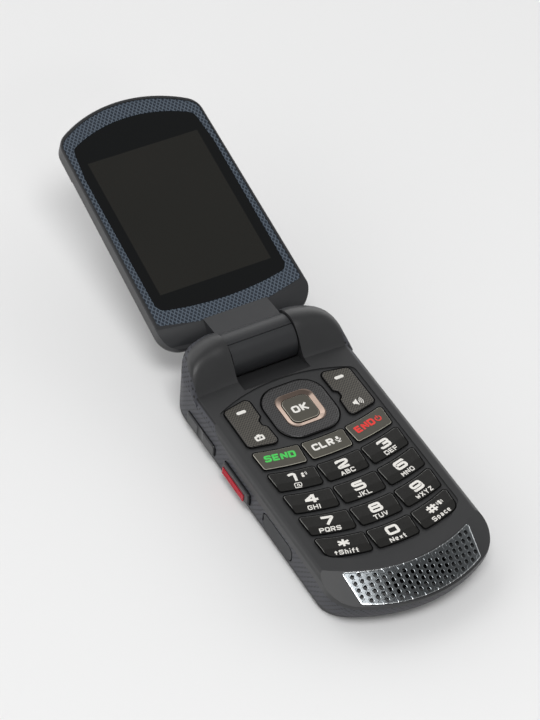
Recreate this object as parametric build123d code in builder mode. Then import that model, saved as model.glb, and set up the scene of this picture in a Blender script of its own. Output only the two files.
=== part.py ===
from build123d import *
import os
from math import cos, radians, sin, sqrt

# Rugged flip phone, open at rest, in millimetres. The origin is the centre of the flat back of the
# keypad half. +X is to the right of someone who reads the keys, +Y points to the hinge, +Z out of the keys.

os.makedirs("parts", exist_ok=True)

# Base plan and levels
base_half_w = 25.75
chin_tip = 53.2
chin_r = 42.0
chin_corner = 10.5
hinge_end = 53.0
hinge_end_r = 60.0
hinge_corner = 12.0
deck_z = 13.2
deck_t = 2.0
wall = 1.5
skirt = 1.5
cover_seam_z = 2.4
cover_floor = 1.2
band_top_z = 9.5
deck_edge_r = 1.8
cover_edge_r = 2.0
seam_gap = 0.05
fit_gap = 0.1

# Hinge
hinge_y = 45.0
hinge_z = 14.2
lid_rest_deg = 15.0
barrel_r = 6.6
barrel_half = 10.5
knuckle_face = 10.85
barrel_gap = 0.3
bay_floor_z = 7.2

# Keypad
tray_half_w = base_half_w - 3.55
tray_depth = 0.35
row_top_y = 6.4
row_pitch = 8.95
row_arc_r = 75.0
row_arc_step = 5.1
key_h = 6.5
key_corner = 0.7
key_edge_r = 0.2
key_gap = 0.25
key_proud = 0.2
key_bottom_z = 10.1
flange_t = 0.7
flange_w = 0.3
mid_key_top = 6.7
mid_key_bottom = 6.3
outer_key_in_top = 7.7
outer_key_in_bottom = 8.3
outer_key_out_top = tray_half_w - 1.3
outer_key_out_bottom = tray_half_w - 1.6
nav_y = 18.6
nav_w = 19.4
nav_l = 20.2
nav_corner = 6.5
trim_w = 12.1
trim_l = 12.7
ok_w = 8.6
ok_corner = 2.0

# Boards and battery
battery_w = 2 * (base_half_w - 8.25)
battery_l = 54.0
battery_h = 4.8
battery_y = -1.0
bay_wall = 1.0
roof_z = 6.4
board_z = 7.2
board_t = 0.9
mat_z = 9.0
mat_t = 0.6
roof_t = 0.8
cavity_top_z = deck_z - deck_t

# Controls and sockets in the side wall
side_key_proud = 0.65
volume_y = 28.8
volume_l = 16.0
volume_z = 5.0
volume_h = 4.0
talk_y = 7.7
talk_l = 14.8
talk_z = 5.2
talk_h = 4.4
talk_proud = 0.9
port_y = -14.7
port_l = 16.0
port_z = 5.6
port_h = 5.2
jack_y = 34.2
jack_z = 5.1
jack_bore_r = 1.8
jack_l = 11.7
jack_cover_l = 8.6
jack_cover_h = 4.2
cover_skin = 1.3

# Lid, measured from the hinge axis along the lid and up from the hinge axis
lid_face_h = 0.3
lid_t = 6.2
lid_seam_h = -3.2
lid_wall = 1.4
lid_near = 7.7
lid_far = 91.8
lid_near_half = base_half_w - 0.75
lid_far_half = base_half_w - 2.15
lid_shoulder = 84.0
lid_far_corner = 6.0
lid_near_corner = 7.0
lid_edge_r = 2.2
panel_t = 0.8
window_t = 0.75
window_half = base_half_w - 4.3
screen_near = 25.2
screen_w = 2 * window_half - 6.18
screen_l = 48.96

# Outer edge of the base plan, drawn parallel to itself at an inset, with its chin moved back
def base_outline(z, inset=0.0, chin_back=0.0):
    half = base_half_w - inset
    low = chin_r - inset
    high = hinge_end_r - inset
    tip_y = -chin_tip + inset + chin_back
    low_y = tip_y + low - sqrt(low**2 - half**2)
    high_y = hinge_end - inset - high + sqrt(high**2 - half**2)
    with BuildSketch(Plane.XY.offset(z)) as outline:
        with BuildLine():
            chin = ThreePointArc((-half, low_y), (0, tip_y), (half, low_y))
            side = Line(chin @ 1, (half, high_y))
            end = ThreePointArc(side @ 1, (0, hinge_end - inset), (-half, high_y))
            Line(end @ 1, chin @ 0)
        make_face()
        fillet(outline.vertices().group_by(Axis.Y)[0], chin_corner - inset)
        fillet(outline.vertices().group_by(Axis.Y)[-1], hinge_corner - inset)
    return outline.sketch


# Chin slope, a cone about an upright axis
slope_axis_y = 2.0
slope_top_r = 44.8
slope_drop = 0.44
slope_reach = 16.0


def chin_slope(sink=0.0):
    with BuildPart() as slope:
        with BuildSketch(Plane.XZ.offset(-slope_axis_y)):
            with BuildLine():
                Polyline(
                    (slope_top_r, deck_z - sink),
                    (slope_top_r + slope_reach, deck_z - sink - slope_reach * slope_drop),
                    (slope_top_r + slope_reach, deck_z + slope_reach),
                    (slope_top_r, deck_z + slope_reach),
                    close=True,
                )
            make_face()
        revolve(axis=Axis((0, slope_axis_y, 0), (0, 0, 1)), revolution_arc=-180)
    return slope.part


# Undercut below the chin: the plan moves back, corners and all, from the slope's edge to the flat back
chin_centre_y = chin_r - chin_tip
tuck_top_z = 9.0
tuck_mid_in = 1.2
tuck_mid_z = 4.5
tuck_foot_in = 4.4
tuck_clear = 0.02
tuck_behind_y = -20.0


def chin_hull(inset):
    with BuildPart() as hull:
        loft(
            [
                base_outline(0, inset, tuck_foot_in),
                base_outline(tuck_mid_z, inset, tuck_mid_in),
                base_outline(tuck_top_z, inset),
            ]
        )
        extrude(base_outline(0, inset, tuck_foot_in), amount=-wall)
    return hull.part


def chin_tuck(sink=0.0):
    with BuildPart() as tuck:
        with BuildSketch(Plane.XY.offset(-wall)):
            with Locations((0, tuck_behind_y)):
                Rectangle(4 * base_half_w, chin_tip, align=(Align.CENTER, Align.MAX))
        extrude(amount=tuck_top_z + wall)
        add(chin_hull(sink - tuck_clear), mode=Mode.SUBTRACT)
    return tuck.part


# Shoulder beside the hinge barrel, as sections from the barrel out to the side wall. Each row gives the
# share of the way out, the foot and crest ahead of the hinge axis, the crest above and the back behind it.
# The rise gives points on the way up from foot to crest, the fall one on the way down to the tail.
shoulder_rise = ((0.12, 0.06), (0.34, 0.36))
shoulder_fall = (0.77, 0.22)
shoulder_lead = 1.2
shoulder_tail_drop = 1.2
shoulder_sections = (
    (0.0, 10.0, 1.3, 7.3, 7.3),
    (0.35, 10.2, 1.7, 7.0, 7.0),
    (0.65, 10.4, 3.1, 6.1, 5.6),
    (0.85, 10.6, 4.7, 4.5, 3.0),
    (0.956, 10.8, 6.2, 2.0, -1.0),
    (1.04, 10.9, 8.0, -1.2, -4.6),
)
shoulder_foot_sink = 0.6
shoulder_low_z = 5.0


def shoulder_points(foot, crest, rise, back):
    foot_y = hinge_y - foot
    crest_y = hinge_y - crest
    top_z = hinge_z + rise
    back_y = hinge_y + back
    tail_z = deck_z - shoulder_tail_drop
    return (
        (foot_y - shoulder_lead, deck_z - shoulder_foot_sink),
        *((foot_y + u * (crest_y - foot_y), deck_z + v * (top_z - deck_z)) for u, v in shoulder_rise),
        (crest_y, top_z),
        (crest_y + shoulder_fall[0] * (back_y - crest_y), top_z - shoulder_fall[1] * (top_z - tail_z)),
        (back_y, tail_z),
    )


def shoulders():
    with BuildPart() as pair:
        for share, foot, crest, rise, back in shoulder_sections:
            x = knuckle_face + share * (base_half_w - knuckle_face)
            points = shoulder_points(foot, crest, rise, back)
            with BuildSketch(Plane.YZ.offset(x)):
                with BuildLine():
                    top = Spline(*points)
                    back_y = points[-1][0]
                    Polyline(top @ 1, (back_y, shoulder_low_z), (points[0][0], shoulder_low_z), top @ 0)
                make_face()
        loft()
        extrude(base_outline(shoulder_low_z), amount=deck_z + barrel_r, mode=Mode.INTERSECT)
        mirror(about=Plane.YZ)
    return pair.part


# Room that the lid's barrel and neck turn in, between the two shoulders
trough_start_y = 31.6
trough_drop = 2.38
trough_lip = (0.9, 0.35)
bay_step_y = 41.5


def hinge_bay():
    bore_r = barrel_r + barrel_gap
    top_z = hinge_z + 2 * barrel_r
    with BuildPart() as bay:
        with BuildSketch(Plane.YZ):
            with BuildLine():
                Polyline(
                    (trough_start_y, deck_z),
                    (trough_start_y + trough_lip[0], deck_z - trough_lip[1]),
                    (hinge_y - bore_r + trough_lip[0], deck_z - trough_drop),
                    (hinge_y, deck_z - trough_drop),
                    (hinge_y, top_z),
                    (trough_start_y, top_z),
                    close=True,
                )
            make_face()
            with Locations((hinge_y, hinge_z)):
                Circle(bore_r)
            with Locations((bay_step_y, 0)):
                Rectangle(2 * (hinge_end - bay_step_y), top_z, align=(Align.MIN, Align.MIN))
        extrude(amount=knuckle_face, both=True)
    return bay.part


# Outer form of the base from the cover seam up, before it is split into its shells
def base_form():
    with BuildPart() as form:
        extrude(base_outline(cover_seam_z), amount=deck_z - cover_seam_z)
        fillet(form.faces().sort_by(Axis.Z)[-1].edges(), deck_edge_r)
        add(chin_slope(), mode=Mode.SUBTRACT)
        add(chin_tuck(), mode=Mode.SUBTRACT)
        add(shoulders())
    return form.part


# Edge between the smooth front shell and the textured band, seen from the side, as a solid below it
band_edge = (
    (-chin_tip - 6.8, band_top_z - 2.1),
    (-chin_tip + 7.2, band_top_z - 1.4),
    (-chin_tip + 19.2, band_top_z - 0.2),
    (hinge_y - 35.0, band_top_z),
    (hinge_y - 21.0, deck_z),
    (hinge_y - 14.0, deck_z + 3.2),
    (hinge_y - 9.0, deck_z + 5.4),
    (hinge_end + 7.0, deck_z + 6.4),
)


def below_band_edge():
    with BuildPart() as below:
        with BuildSketch(Plane.YZ):
            with BuildLine():
                edge = Spline(*band_edge)
                Polyline(edge @ 1, (band_edge[-1][0], -wall), (band_edge[0][0], -wall), edge @ 0)
            make_face()
        extrude(amount=2 * base_half_w, both=True)
    return below.part


# Underside of the front shell: it follows the band's edge at the chin, runs level and drops at the knuckles
knuckle_root_y = 34.5


def below_front_shell():
    with BuildPart() as below:
        add(below_band_edge())
        with BuildSketch(Plane.XY.offset(band_top_z)):
            with Locations((0, band_edge[3][0])):
                Rectangle(4 * base_half_w, 4 * chin_tip, align=(Align.CENTER, Align.MIN))
        extrude(amount=chin_tip, mode=Mode.SUBTRACT)
        with BuildSketch(Plane.XY.offset(bay_floor_z + seam_gap)):
            with Locations((0, knuckle_root_y)):
                Rectangle(4 * base_half_w, 4 * chin_tip, align=(Align.CENTER, Align.MIN))
        extrude(amount=chin_tip, mode=Mode.SUBTRACT)
    return below.part


# Outer band of the base plan, one wall thick
def wall_ring(z, height, thickness):
    with BuildPart() as ring:
        extrude(base_outline(z), amount=height)
        extrude(base_outline(z, thickness), amount=height, mode=Mode.SUBTRACT)
    return ring.part


# Keys. A row follows an arc whose ends lie nearer the hinge; lower rows curve more.
def row_arc(row):
    top_r = row_arc_r - row * row_arc_step
    return top_r, row_top_y - row * row_pitch + top_r


def key_outline(z, col, row, grow=0.0):
    top_r, centre_y = row_arc(row)
    bottom_r = top_r + key_h

    def on_arc(x, r):
        return (x, centre_y - sqrt(r**2 - x**2))

    def spread(near, far):
        return sorted((near, (near + far) / 2, far))

    if col == 0:
        top_x = spread(-mid_key_top, mid_key_top)
        bottom_x = spread(-mid_key_bottom, mid_key_bottom)
    else:
        top_x = spread(col * outer_key_in_top, col * outer_key_out_top)
        bottom_x = spread(col * outer_key_in_bottom, col * outer_key_out_bottom)
    with BuildSketch(Plane.XY.offset(z)) as outline:
        with BuildLine():
            top = ThreePointArc(*(on_arc(x, top_r) for x in top_x))
            bottom = ThreePointArc(*(on_arc(x, bottom_r) for x in bottom_x))
            Line(top @ 0, bottom @ 0)
            Line(top @ 1, bottom @ 1)
        make_face()
        if row == last_row and col != 0:
            low_corner = outline.vertices().sort_by_distance((col * base_half_w, -chin_tip))[0]
            others = [v for v in outline.vertices() if v != low_corner]
            fillet(others, key_corner)
            fillet(outline.vertices().sort_by_distance((col * base_half_w, -chin_tip))[0], 4 * key_corner)
        else:
            fillet(outline.vertices(), key_corner)
        if grow > 0:
            offset(amount=grow)
    return outline.sketch


last_row = 4
key_crease = 0.6
key_fall = 0.25
key_names = (
    ("key_send", "key_clear", "key_end"),
    ("key_1", "key_2", "key_3"),
    ("key_4", "key_5", "key_6"),
    ("key_7", "key_8", "key_9"),
    ("key_star", "key_0", "key_hash"),
)


def make_key(col, row):
    top_z = deck_z + key_proud
    with BuildPart() as key:
        extrude(key_outline(key_bottom_z, col, row, flange_w), amount=flange_t)
        extrude(key_outline(key_bottom_z, col, row), amount=top_z - key_bottom_z)
        fillet(key.faces().sort_by(Axis.Z)[-1].edges(), key_edge_r)
        if row > 0:
            top_r, centre_y = row_arc(row)
            crease_r = top_r + key_crease * key_h
            low_r = top_r + key_h + key_corner
            with BuildSketch(Plane.XZ.offset(-centre_y)):
                with BuildLine():
                    Polyline(
                        (crease_r, top_z),
                        (low_r, top_z - key_fall),
                        (low_r, top_z + key_fall),
                        (crease_r, top_z + key_fall),
                        close=True,
                    )
                make_face()
            revolve(axis=Axis((0, centre_y, 0), (0, 0, 1)), revolution_arc=-180, mode=Mode.SUBTRACT)
    return key


# Side softkey, with a notch towards the navigation ring
soft_corner = 0.55
soft_end_corner = 1.5
soft_notch_half = 3.5
soft_points = (
    (11.8, 28.3),
    (tray_half_w - 1.7, 26.6),
    (tray_half_w - 1.6, 11.7),
    (11.6, 9.8),
    (11.9, 16.4),
    (13.1, 17.6),
    (13.1, 19.6),
    (11.9, 20.8),
)


def soft_key_outline(z, side, grow=0.0):
    with BuildSketch(Plane.XY.offset(z)) as outline:
        with BuildLine():
            Polyline(*((side * x, y) for x, y in soft_points), close=True)
        make_face()
        fillet([v for v in outline.vertices() if abs(v.Y - nav_y) > soft_notch_half], soft_end_corner)
        fillet([v for v in outline.vertices() if abs(v.Y - nav_y) < soft_notch_half], soft_corner)
        if grow > 0:
            offset(amount=grow)
    return outline.sketch


def make_soft_key(side):
    with BuildPart() as key:
        extrude(soft_key_outline(key_bottom_z, side, flange_w), amount=flange_t)
        extrude(soft_key_outline(key_bottom_z, side), amount=deck_z + key_proud - key_bottom_z)
        fillet(key.faces().sort_by(Axis.Z)[-1].edges(), key_edge_r)
    return key


# Rounded rectangle about the navigation centre
def nav_outline(z, width, length, corner):
    with BuildSketch(Plane.XY.offset(z)) as outline:
        with Locations((0, nav_y)):
            RectangleRounded(width, length, corner)
    return outline.sketch


# Tray that the keys stand in
tray_side_top_y = 26.4
tray_mid_top_y = 31.6
tray_side_low_y = -30.6
tray_mid_low_y = -39.4
tray_corner = 2.6


def tray_outline(z):
    with BuildSketch(Plane.XY.offset(z)) as outline:
        with BuildLine():
            low_ends = ((-tray_half_w, tray_side_low_y), (tray_half_w, tray_side_low_y))
            low = ThreePointArc(low_ends[0], (0, tray_mid_low_y), low_ends[1])
            side = Line(low @ 1, (tray_half_w, tray_side_top_y))
            high = ThreePointArc(side @ 1, (0, tray_mid_top_y), (-tray_half_w, tray_side_top_y))
            Line(high @ 1, low @ 0)
        make_face()
        fillet(outline.vertices(), tray_corner)
    return outline.sketch


# Speaker grille on the chin slope, between two arcs about the slope's axis
grille_top_r = 45.2
grille_low_in = 0.6
grille_top_half = base_half_w - 5.65
grille_low_half = base_half_w - 6.85
grille_corner = 0.6
grille_t = 0.7
grille_proud = 0.12
grille_back_t = 1.2
hole_r = 0.58
hole_pitch = 2.0
hole_rows = 9
hole_row_gap = 0.8
hole_last_in = 1.7
hole_margin = 0.7


def grille_outline(z, grow=0.0):
    def on_arc(x, centre_y, r):
        return (x, centre_y - sqrt(r**2 - x**2))

    def arc(half, centre_y, r):
        return ThreePointArc(*(on_arc(x, centre_y, r) for x in (-half, 0, half)))

    with BuildSketch(Plane.XY.offset(z)) as outline:
        with BuildLine():
            top = arc(grille_top_half, slope_axis_y, grille_top_r)
            low = arc(grille_low_half, chin_centre_y, chin_r - grille_low_in)
            Line(top @ 0, low @ 0)
            Line(top @ 1, low @ 1)
        make_face()
        fillet(outline.vertices(), grille_corner)
        if grow > 0:
            offset(amount=grow)
    return outline.sketch


# Part of the space over the chin that lies between two depths under the slope
def slope_layer(top, bottom):
    with BuildPart() as layer:
        add(chin_slope(bottom))
        add(chin_slope(top), mode=Mode.SUBTRACT)
    return layer.part


# Holes in columns across the grille; every other column is lower by half the gap along a column
def grille_hole_places():
    places = []
    count = int((grille_low_half - hole_margin) / hole_pitch)
    for column in range(-count, count + 1):
        x = column * hole_pitch
        for row in range(column % 2, hole_rows, 2):
            r = chin_r - hole_last_in - row * hole_row_gap
            places.append((x, chin_centre_y - sqrt(r**2 - x**2)))
    return places


def write(piece, name):
    piece.part.label = name
    export_step(piece.part, f"parts/{name}.step")


# Places and sizes inside the base
bay_half_w = battery_w / 2 + 0.4
bay_near_y = battery_y - battery_l / 2 - 0.5
bay_far_y = battery_y + battery_l / 2 + 0.5
boss_r = 1.7
screw_r = 0.8
screw_head_r = 1.4
screw_head_t = 0.9
screw_z = 2.7
screw_tip_z = 10.6
high_screw_x = base_half_w - 6.35
low_screw_x = base_half_w - 5.55
high_screw_y = 28.9
low_screw_y = -35.6
screw_places = (
    (-high_screw_x, high_screw_y),
    (high_screw_x, high_screw_y),
    (-low_screw_x, low_screw_y),
    (low_screw_x, low_screw_y),
)
speaker_y = -43.0
speaker_w = 16.0
speaker_l = 9.6
speaker_h = 3.0
shelf_z = 3.6
shelf_t = 0.6
sound_y = -47.0
sound_w = 20.0
sound_l = 5.0
shaft_key = 3.2
shaft_key_l = 4.2
shaft_r = 1.5
shaft_l = 5.85
run_gap = 0.05
bush_r = 4.0
bush_in_r = 3.2
bush_in_knuckle = 3.6
bush_in_barrel = 5.0


# Textured wall of the base: the form inside the outer ring and below the band's edge
def wall_band():
    with BuildPart() as band:
        add(wall_ring(cover_seam_z, 2 * deck_z, wall))
        add(chin_tuck(wall))
        add(form, mode=Mode.INTERSECT)
        add(below_band_edge(), mode=Mode.INTERSECT)
    return band.part


# Hollow under the deck, which follows the chin slope and stops at the knuckles
def front_hollow():
    with BuildPart() as hollow:
        extrude(base_outline(0, wall + skirt), amount=cavity_top_z)
        add(chin_slope(grille_t - grille_proud + grille_back_t), mode=Mode.SUBTRACT)
        with BuildSketch(Plane.XY):
            with Locations((0, knuckle_root_y)):
                Rectangle(4 * base_half_w, chin_tip, align=(Align.CENTER, Align.MIN))
        extrude(amount=2 * deck_z, mode=Mode.SUBTRACT)
    return hollow.part


def grille_pocket():
    with BuildPart() as pocket:
        extrude(grille_outline(bay_floor_z, fit_gap), amount=deck_z)
        add(slope_layer(-deck_t, grille_t - grille_proud), mode=Mode.INTERSECT)
    return pocket.part


form = base_form()
band = wall_band()

with BuildPart() as front_housing:
    add(form)
    add(below_front_shell(), mode=Mode.SUBTRACT)
    add(band, mode=Mode.SUBTRACT)
    add(hinge_bay(), mode=Mode.SUBTRACT)
    add(front_hollow(), mode=Mode.SUBTRACT)
    with BuildSketch(Plane.XY.offset(band_top_z)):
        with Locations(*screw_places):
            Circle(boss_r)
    extrude(amount=cavity_top_z - band_top_z)
    extrude(tray_outline(deck_z - tray_depth), amount=tray_depth, mode=Mode.SUBTRACT)
    for row in range(last_row + 1):
        for col in (-1, 0, 1):
            extrude(key_outline(band_top_z, col, row, key_gap), amount=2 * deck_t, mode=Mode.SUBTRACT)
    for side in (-1, 1):
        extrude(soft_key_outline(band_top_z, side, key_gap), amount=2 * deck_t, mode=Mode.SUBTRACT)
    nav_hole = nav_outline(band_top_z, nav_w + 2 * key_gap, nav_l + 2 * key_gap, nav_corner + key_gap)
    extrude(nav_hole, amount=2 * deck_t, mode=Mode.SUBTRACT)
    add(grille_pocket(), mode=Mode.SUBTRACT)
    with BuildSketch(Plane.XY.offset(bay_floor_z)):
        with Locations((0, sound_y)):
            RectangleRounded(sound_w, sound_l, 1)
    extrude(amount=deck_z, mode=Mode.SUBTRACT)
    with BuildSketch(Plane.XY.offset(band_top_z)):
        with Locations(*screw_places):
            Circle(screw_r + run_gap)
    extrude(amount=screw_tip_z + fit_gap - band_top_z, mode=Mode.SUBTRACT)
    # Keyed pocket for the hinge shaft on the left, round seat for the bush on the right
    with BuildSketch(Plane.YZ.offset(-knuckle_face)):
        with Locations((hinge_y, hinge_z)):
            Rectangle(shaft_key + 2 * run_gap, shaft_key + 2 * run_gap)
    extrude(amount=-shaft_key_l - fit_gap, mode=Mode.SUBTRACT)
    with BuildSketch(Plane.YZ.offset(knuckle_face)):
        with Locations((hinge_y, hinge_z)):
            Circle(bush_r + run_gap)
    extrude(amount=bush_in_knuckle + fit_gap, mode=Mode.SUBTRACT)
write(front_housing, "front_housing")


# Windows that the side controls and covers stand in, cut through the left or right wall
def side_window(side, y, z, length, height, corner):
    with BuildPart() as window:
        with BuildSketch(Plane.YZ.offset(side * (base_half_w - 2 * wall))):
            with Locations((y, z)):
                RectangleRounded(length, height, corner)
        extrude(amount=side * 4 * wall)
    return window.part


side_corner = 1.2
port_corner = 2.2
jack_corner = 1.8
board_back_x = base_half_w - wall - 2.95
side_board_t = 0.6
side_rib_places = (8.0, 24.0)
side_openings = (
    (-1, volume_y, volume_z, volume_l, volume_h, side_corner),
    (-1, talk_y, talk_z, talk_l, talk_h, side_corner),
    (-1, port_y, port_z, port_l, port_h, port_corner),
    (1, jack_y, jack_z, jack_cover_l, jack_cover_h, jack_corner),
)
keeper_y = -44.0
keeper_l = 3.0
keeper_w = 6.0
keeper_z = 1.5
keeper_t = 0.6
keeper_post = 1.2

with BuildPart() as rear_housing:
    # Chassis inside the wall: battery chamber, cross ribs, roof, hinge floor and speaker shelf
    with BuildSketch(Plane.XY.offset(cover_seam_z + seam_gap)):
        with Locations((0, battery_y)):
            Rectangle(2 * (bay_half_w + bay_wall), bay_far_y - bay_near_y + 2 * bay_wall)
        with Locations((0, bay_near_y - bay_wall / 2)):
            Rectangle(2 * base_half_w, bay_wall)
        with Locations((-board_back_x, bay_far_y)):
            Rectangle(base_half_w + board_back_x, bay_wall, align=(Align.MIN, Align.MIN))
        for y in side_rib_places:
            with Locations((-board_back_x, y)):
                Rectangle(board_back_x - bay_half_w, bay_wall, align=(Align.MIN, Align.CENTER))
        with Locations((-low_screw_x, bay_near_y), (low_screw_x, bay_near_y)):
            Rectangle(bay_wall, bay_near_y - low_screw_y, align=(Align.CENTER, Align.MAX))
        with Locations((0, battery_y)):
            Rectangle(2 * bay_half_w, bay_far_y - bay_near_y, mode=Mode.SUBTRACT)
    extrude(amount=board_z - cover_seam_z - seam_gap)
    with BuildSketch(Plane.XY.offset(roof_z)):
        with Locations((0, battery_y)):
            Rectangle(2 * bay_half_w + bay_wall, bay_far_y - bay_near_y + bay_wall)
    extrude(amount=roof_t)
    with BuildSketch(Plane.XY.offset(bay_floor_z - 2 * shelf_t)):
        with Locations((0, knuckle_root_y)):
            Rectangle(2 * knuckle_face + 1, hinge_end, align=(Align.CENTER, Align.MIN))
    extrude(amount=2 * shelf_t)
    with BuildSketch(Plane.XY.offset(shelf_z)):
        with Locations((0, speaker_y + speaker_l / 2 + 1)):
            Rectangle(speaker_w + 4, hinge_end, align=(Align.CENTER, Align.MAX))
    extrude(amount=shelf_t)
    with BuildSketch(Plane.XY.offset(screw_z + screw_head_t)):
        with Locations(*screw_places):
            Circle(boss_r)
    extrude(amount=band_top_z - seam_gap - screw_z - screw_head_t)
    extrude(base_outline(0, wall / 2), amount=2 * deck_z, mode=Mode.INTERSECT)
    add(chin_tuck(wall / 2), mode=Mode.SUBTRACT)
    add(band)
    with BuildSketch(Plane.XY.offset(screw_z)):
        with Locations(*screw_places):
            Circle(screw_head_r + fit_gap)
    extrude(amount=screw_head_t, mode=Mode.SUBTRACT)
    with BuildSketch(Plane.XY.offset(screw_z)):
        with Locations(*screw_places):
            Circle(screw_r + run_gap)
    extrude(amount=deck_z, mode=Mode.SUBTRACT)
    # Keeper that the battery cover's latch hooks over
    with BuildSketch(Plane.YZ):
        with BuildLine():
            Polyline(
                (keeper_y - keeper_post, shelf_z),
                (keeper_y, shelf_z),
                (keeper_y, keeper_z + keeper_t),
                (keeper_y + keeper_l, keeper_z + keeper_t),
                (keeper_y + keeper_l, keeper_z),
                (keeper_y - keeper_post, keeper_z),
                close=True,
            )
        make_face()
    extrude(amount=keeper_w / 2, both=True)
    with BuildSketch(Plane.XY.offset(bay_floor_z)):
        with Locations((0, bay_step_y)):
            Rectangle(2 * knuckle_face, hinge_end, align=(Align.CENTER, Align.MIN))
    extrude(amount=deck_z, mode=Mode.SUBTRACT)
    for side, y, z, length, height, corner in side_openings:
        add(side_window(side, y, z, length + 2 * key_gap, height + 2 * key_gap, corner), mode=Mode.SUBTRACT)
write(rear_housing, "rear_housing")

# Battery cover and its quarter-turn latch
latch_y = -36.6
latch_r = 4.5
latch_z = 0.1
latch_t = 0.5
latch_shaft_r = 1.6
latch_collar_r = 2.6
latch_tab_l = 5.8
latch_tab_w = 2.6
latch_tab_z = 2.3
latch_tab_t = 0.8
coin_slot_w = 1.1
coin_slot_l = 6.4
coin_slot_depth = 0.3
coin_slot_corner = 0.54


# Hollow of the cover, whose floor turns up behind the undercut
def cover_hollow():
    with BuildPart() as hollow:
        extrude(base_outline(cover_floor, wall), amount=cover_seam_z)
        add(chin_tuck(cover_floor), mode=Mode.SUBTRACT)
    return hollow.part


with BuildPart() as battery_cover:
    extrude(base_outline(0), amount=cover_seam_z - seam_gap)
    fillet(battery_cover.faces().sort_by(Axis.Z)[0].edges(), cover_edge_r)
    add(chin_tuck(), mode=Mode.SUBTRACT)
    add(cover_hollow(), mode=Mode.SUBTRACT)
    with BuildSketch(Plane.XY):
        with Locations((0, latch_y)):
            Circle(latch_r + fit_gap)
    extrude(amount=latch_z + latch_t + run_gap, mode=Mode.SUBTRACT)
    with BuildSketch(Plane.XY):
        with Locations((0, latch_y)):
            Circle(latch_shaft_r + run_gap)
    extrude(amount=cover_seam_z, mode=Mode.SUBTRACT)
write(battery_cover, "battery_cover")

with BuildPart() as battery_latch:
    with BuildSketch(Plane.XY.offset(latch_z)):
        with Locations((0, latch_y)):
            Circle(latch_r)
    extrude(amount=latch_t)
    with BuildSketch(Plane.XY.offset(latch_z + latch_t)):
        with Locations((0, latch_y)):
            Circle(latch_shaft_r)
    extrude(amount=latch_tab_z + latch_tab_t - latch_z - latch_t)
    with BuildSketch(Plane.XY.offset(cover_floor + run_gap)):
        with Locations((0, latch_y)):
            Circle(latch_collar_r)
    extrude(amount=latch_t)
    with BuildSketch(Plane.XY.offset(latch_tab_z)):
        with Locations((0, latch_y)):
            Rectangle(latch_tab_w, latch_tab_l, align=(Align.CENTER, Align.MAX))
    extrude(amount=latch_tab_t)
    with BuildSketch(Plane.XY.offset(latch_z)):
        with Locations((0, latch_y)):
            RectangleRounded(coin_slot_l, coin_slot_w, coin_slot_corner)
    extrude(amount=coin_slot_depth, mode=Mode.SUBTRACT)
write(battery_latch, "battery_latch")

with BuildPart() as battery:
    with BuildSketch(Plane.XY.offset(cover_floor + fit_gap)):
        with Locations((0, battery_y)):
            RectangleRounded(battery_w, battery_l, 2)
    extrude(amount=battery_h)
write(battery, "battery")

# Main board and keypad mat
nub_r = 1.2
nub_gap = 0.05
mat_near_y = -33.2
mat_far_y = 28.4
mat_half_w = tray_half_w - 0.8
row_mid = key_h / 2 + 0.6
key_mid_x = (outer_key_in_top + outer_key_out_top) / 2
outer_key_lift = 2.2
key_centres = [
    (col * key_mid_x, row_top_y - row * row_pitch - row_mid + outer_key_lift * abs(col))
    for row in range(last_row + 1)
    for col in (-1, 0, 1)
]
soft_press_y = (14.0, 24.0)
soft_press_x = 16.4
nav_press = 7.4
mic_place = (13.5, -35.8)
mic_r = 1.5
mic_h = 1.2

with BuildPart() as main_board:
    extrude(base_outline(board_z, wall + skirt + 2 * fit_gap), amount=board_t)
    with BuildSketch(Plane.XY.offset(board_z)):
        with Locations((0, knuckle_root_y - key_gap)):
            Rectangle(4 * base_half_w, chin_tip, align=(Align.CENTER, Align.MIN))
        with Locations((0, mic_place[1] - 2.0)):
            Rectangle(4 * base_half_w, chin_tip, align=(Align.CENTER, Align.MAX))
        with Locations(*screw_places):
            Circle(boss_r + 2 * fit_gap)
    extrude(amount=board_t, mode=Mode.SUBTRACT)
write(main_board, "main_board")

with BuildPart() as keypad_mat:
    with BuildSketch(Plane.XY.offset(mat_z)):
        with Locations((0, (mat_near_y + mat_far_y) / 2)):
            RectangleRounded(2 * mat_half_w, mat_far_y - mat_near_y, 2)
        with Locations(*screw_places):
            Circle(boss_r + 2 * fit_gap, mode=Mode.SUBTRACT)
    extrude(amount=mat_t)
    with BuildSketch(Plane.XY.offset(board_z + board_t + nub_gap)):
        with Locations(*key_centres):
            Circle(nub_r)
        with Locations(*((side * soft_press_x, y) for side in (-1, 1) for y in soft_press_y)):
            Circle(nub_r)
        with Locations((0, nav_y)):
            Circle(nub_r)
            with PolarLocations(nav_press, 4):
                Circle(nub_r)
    extrude(amount=mat_z - board_z - board_t - nub_gap)
write(keypad_mat, "keypad_mat")

# Keys
for row, names in enumerate(key_names):
    for col, name in zip((-1, 0, 1), names):
        write(make_key(col, row), name)
write(make_soft_key(-1), "soft_key_left")
write(make_soft_key(1), "soft_key_right")

# Navigation ring with its bright frame, the OK key inside it and the rubber pad that it tilts on
nav_bottom_z = 10.35
nav_flange_t = 0.5
nav_proud = 0.25
trim_corner = 3.0
trim_proud = 0.35
trim_bevel = 0.42
trim_rim_w = 0.15
pad_z = 9.85
pad_t = 0.25
pad_out_r = 7.6
pad_in_r = 5.8

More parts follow.
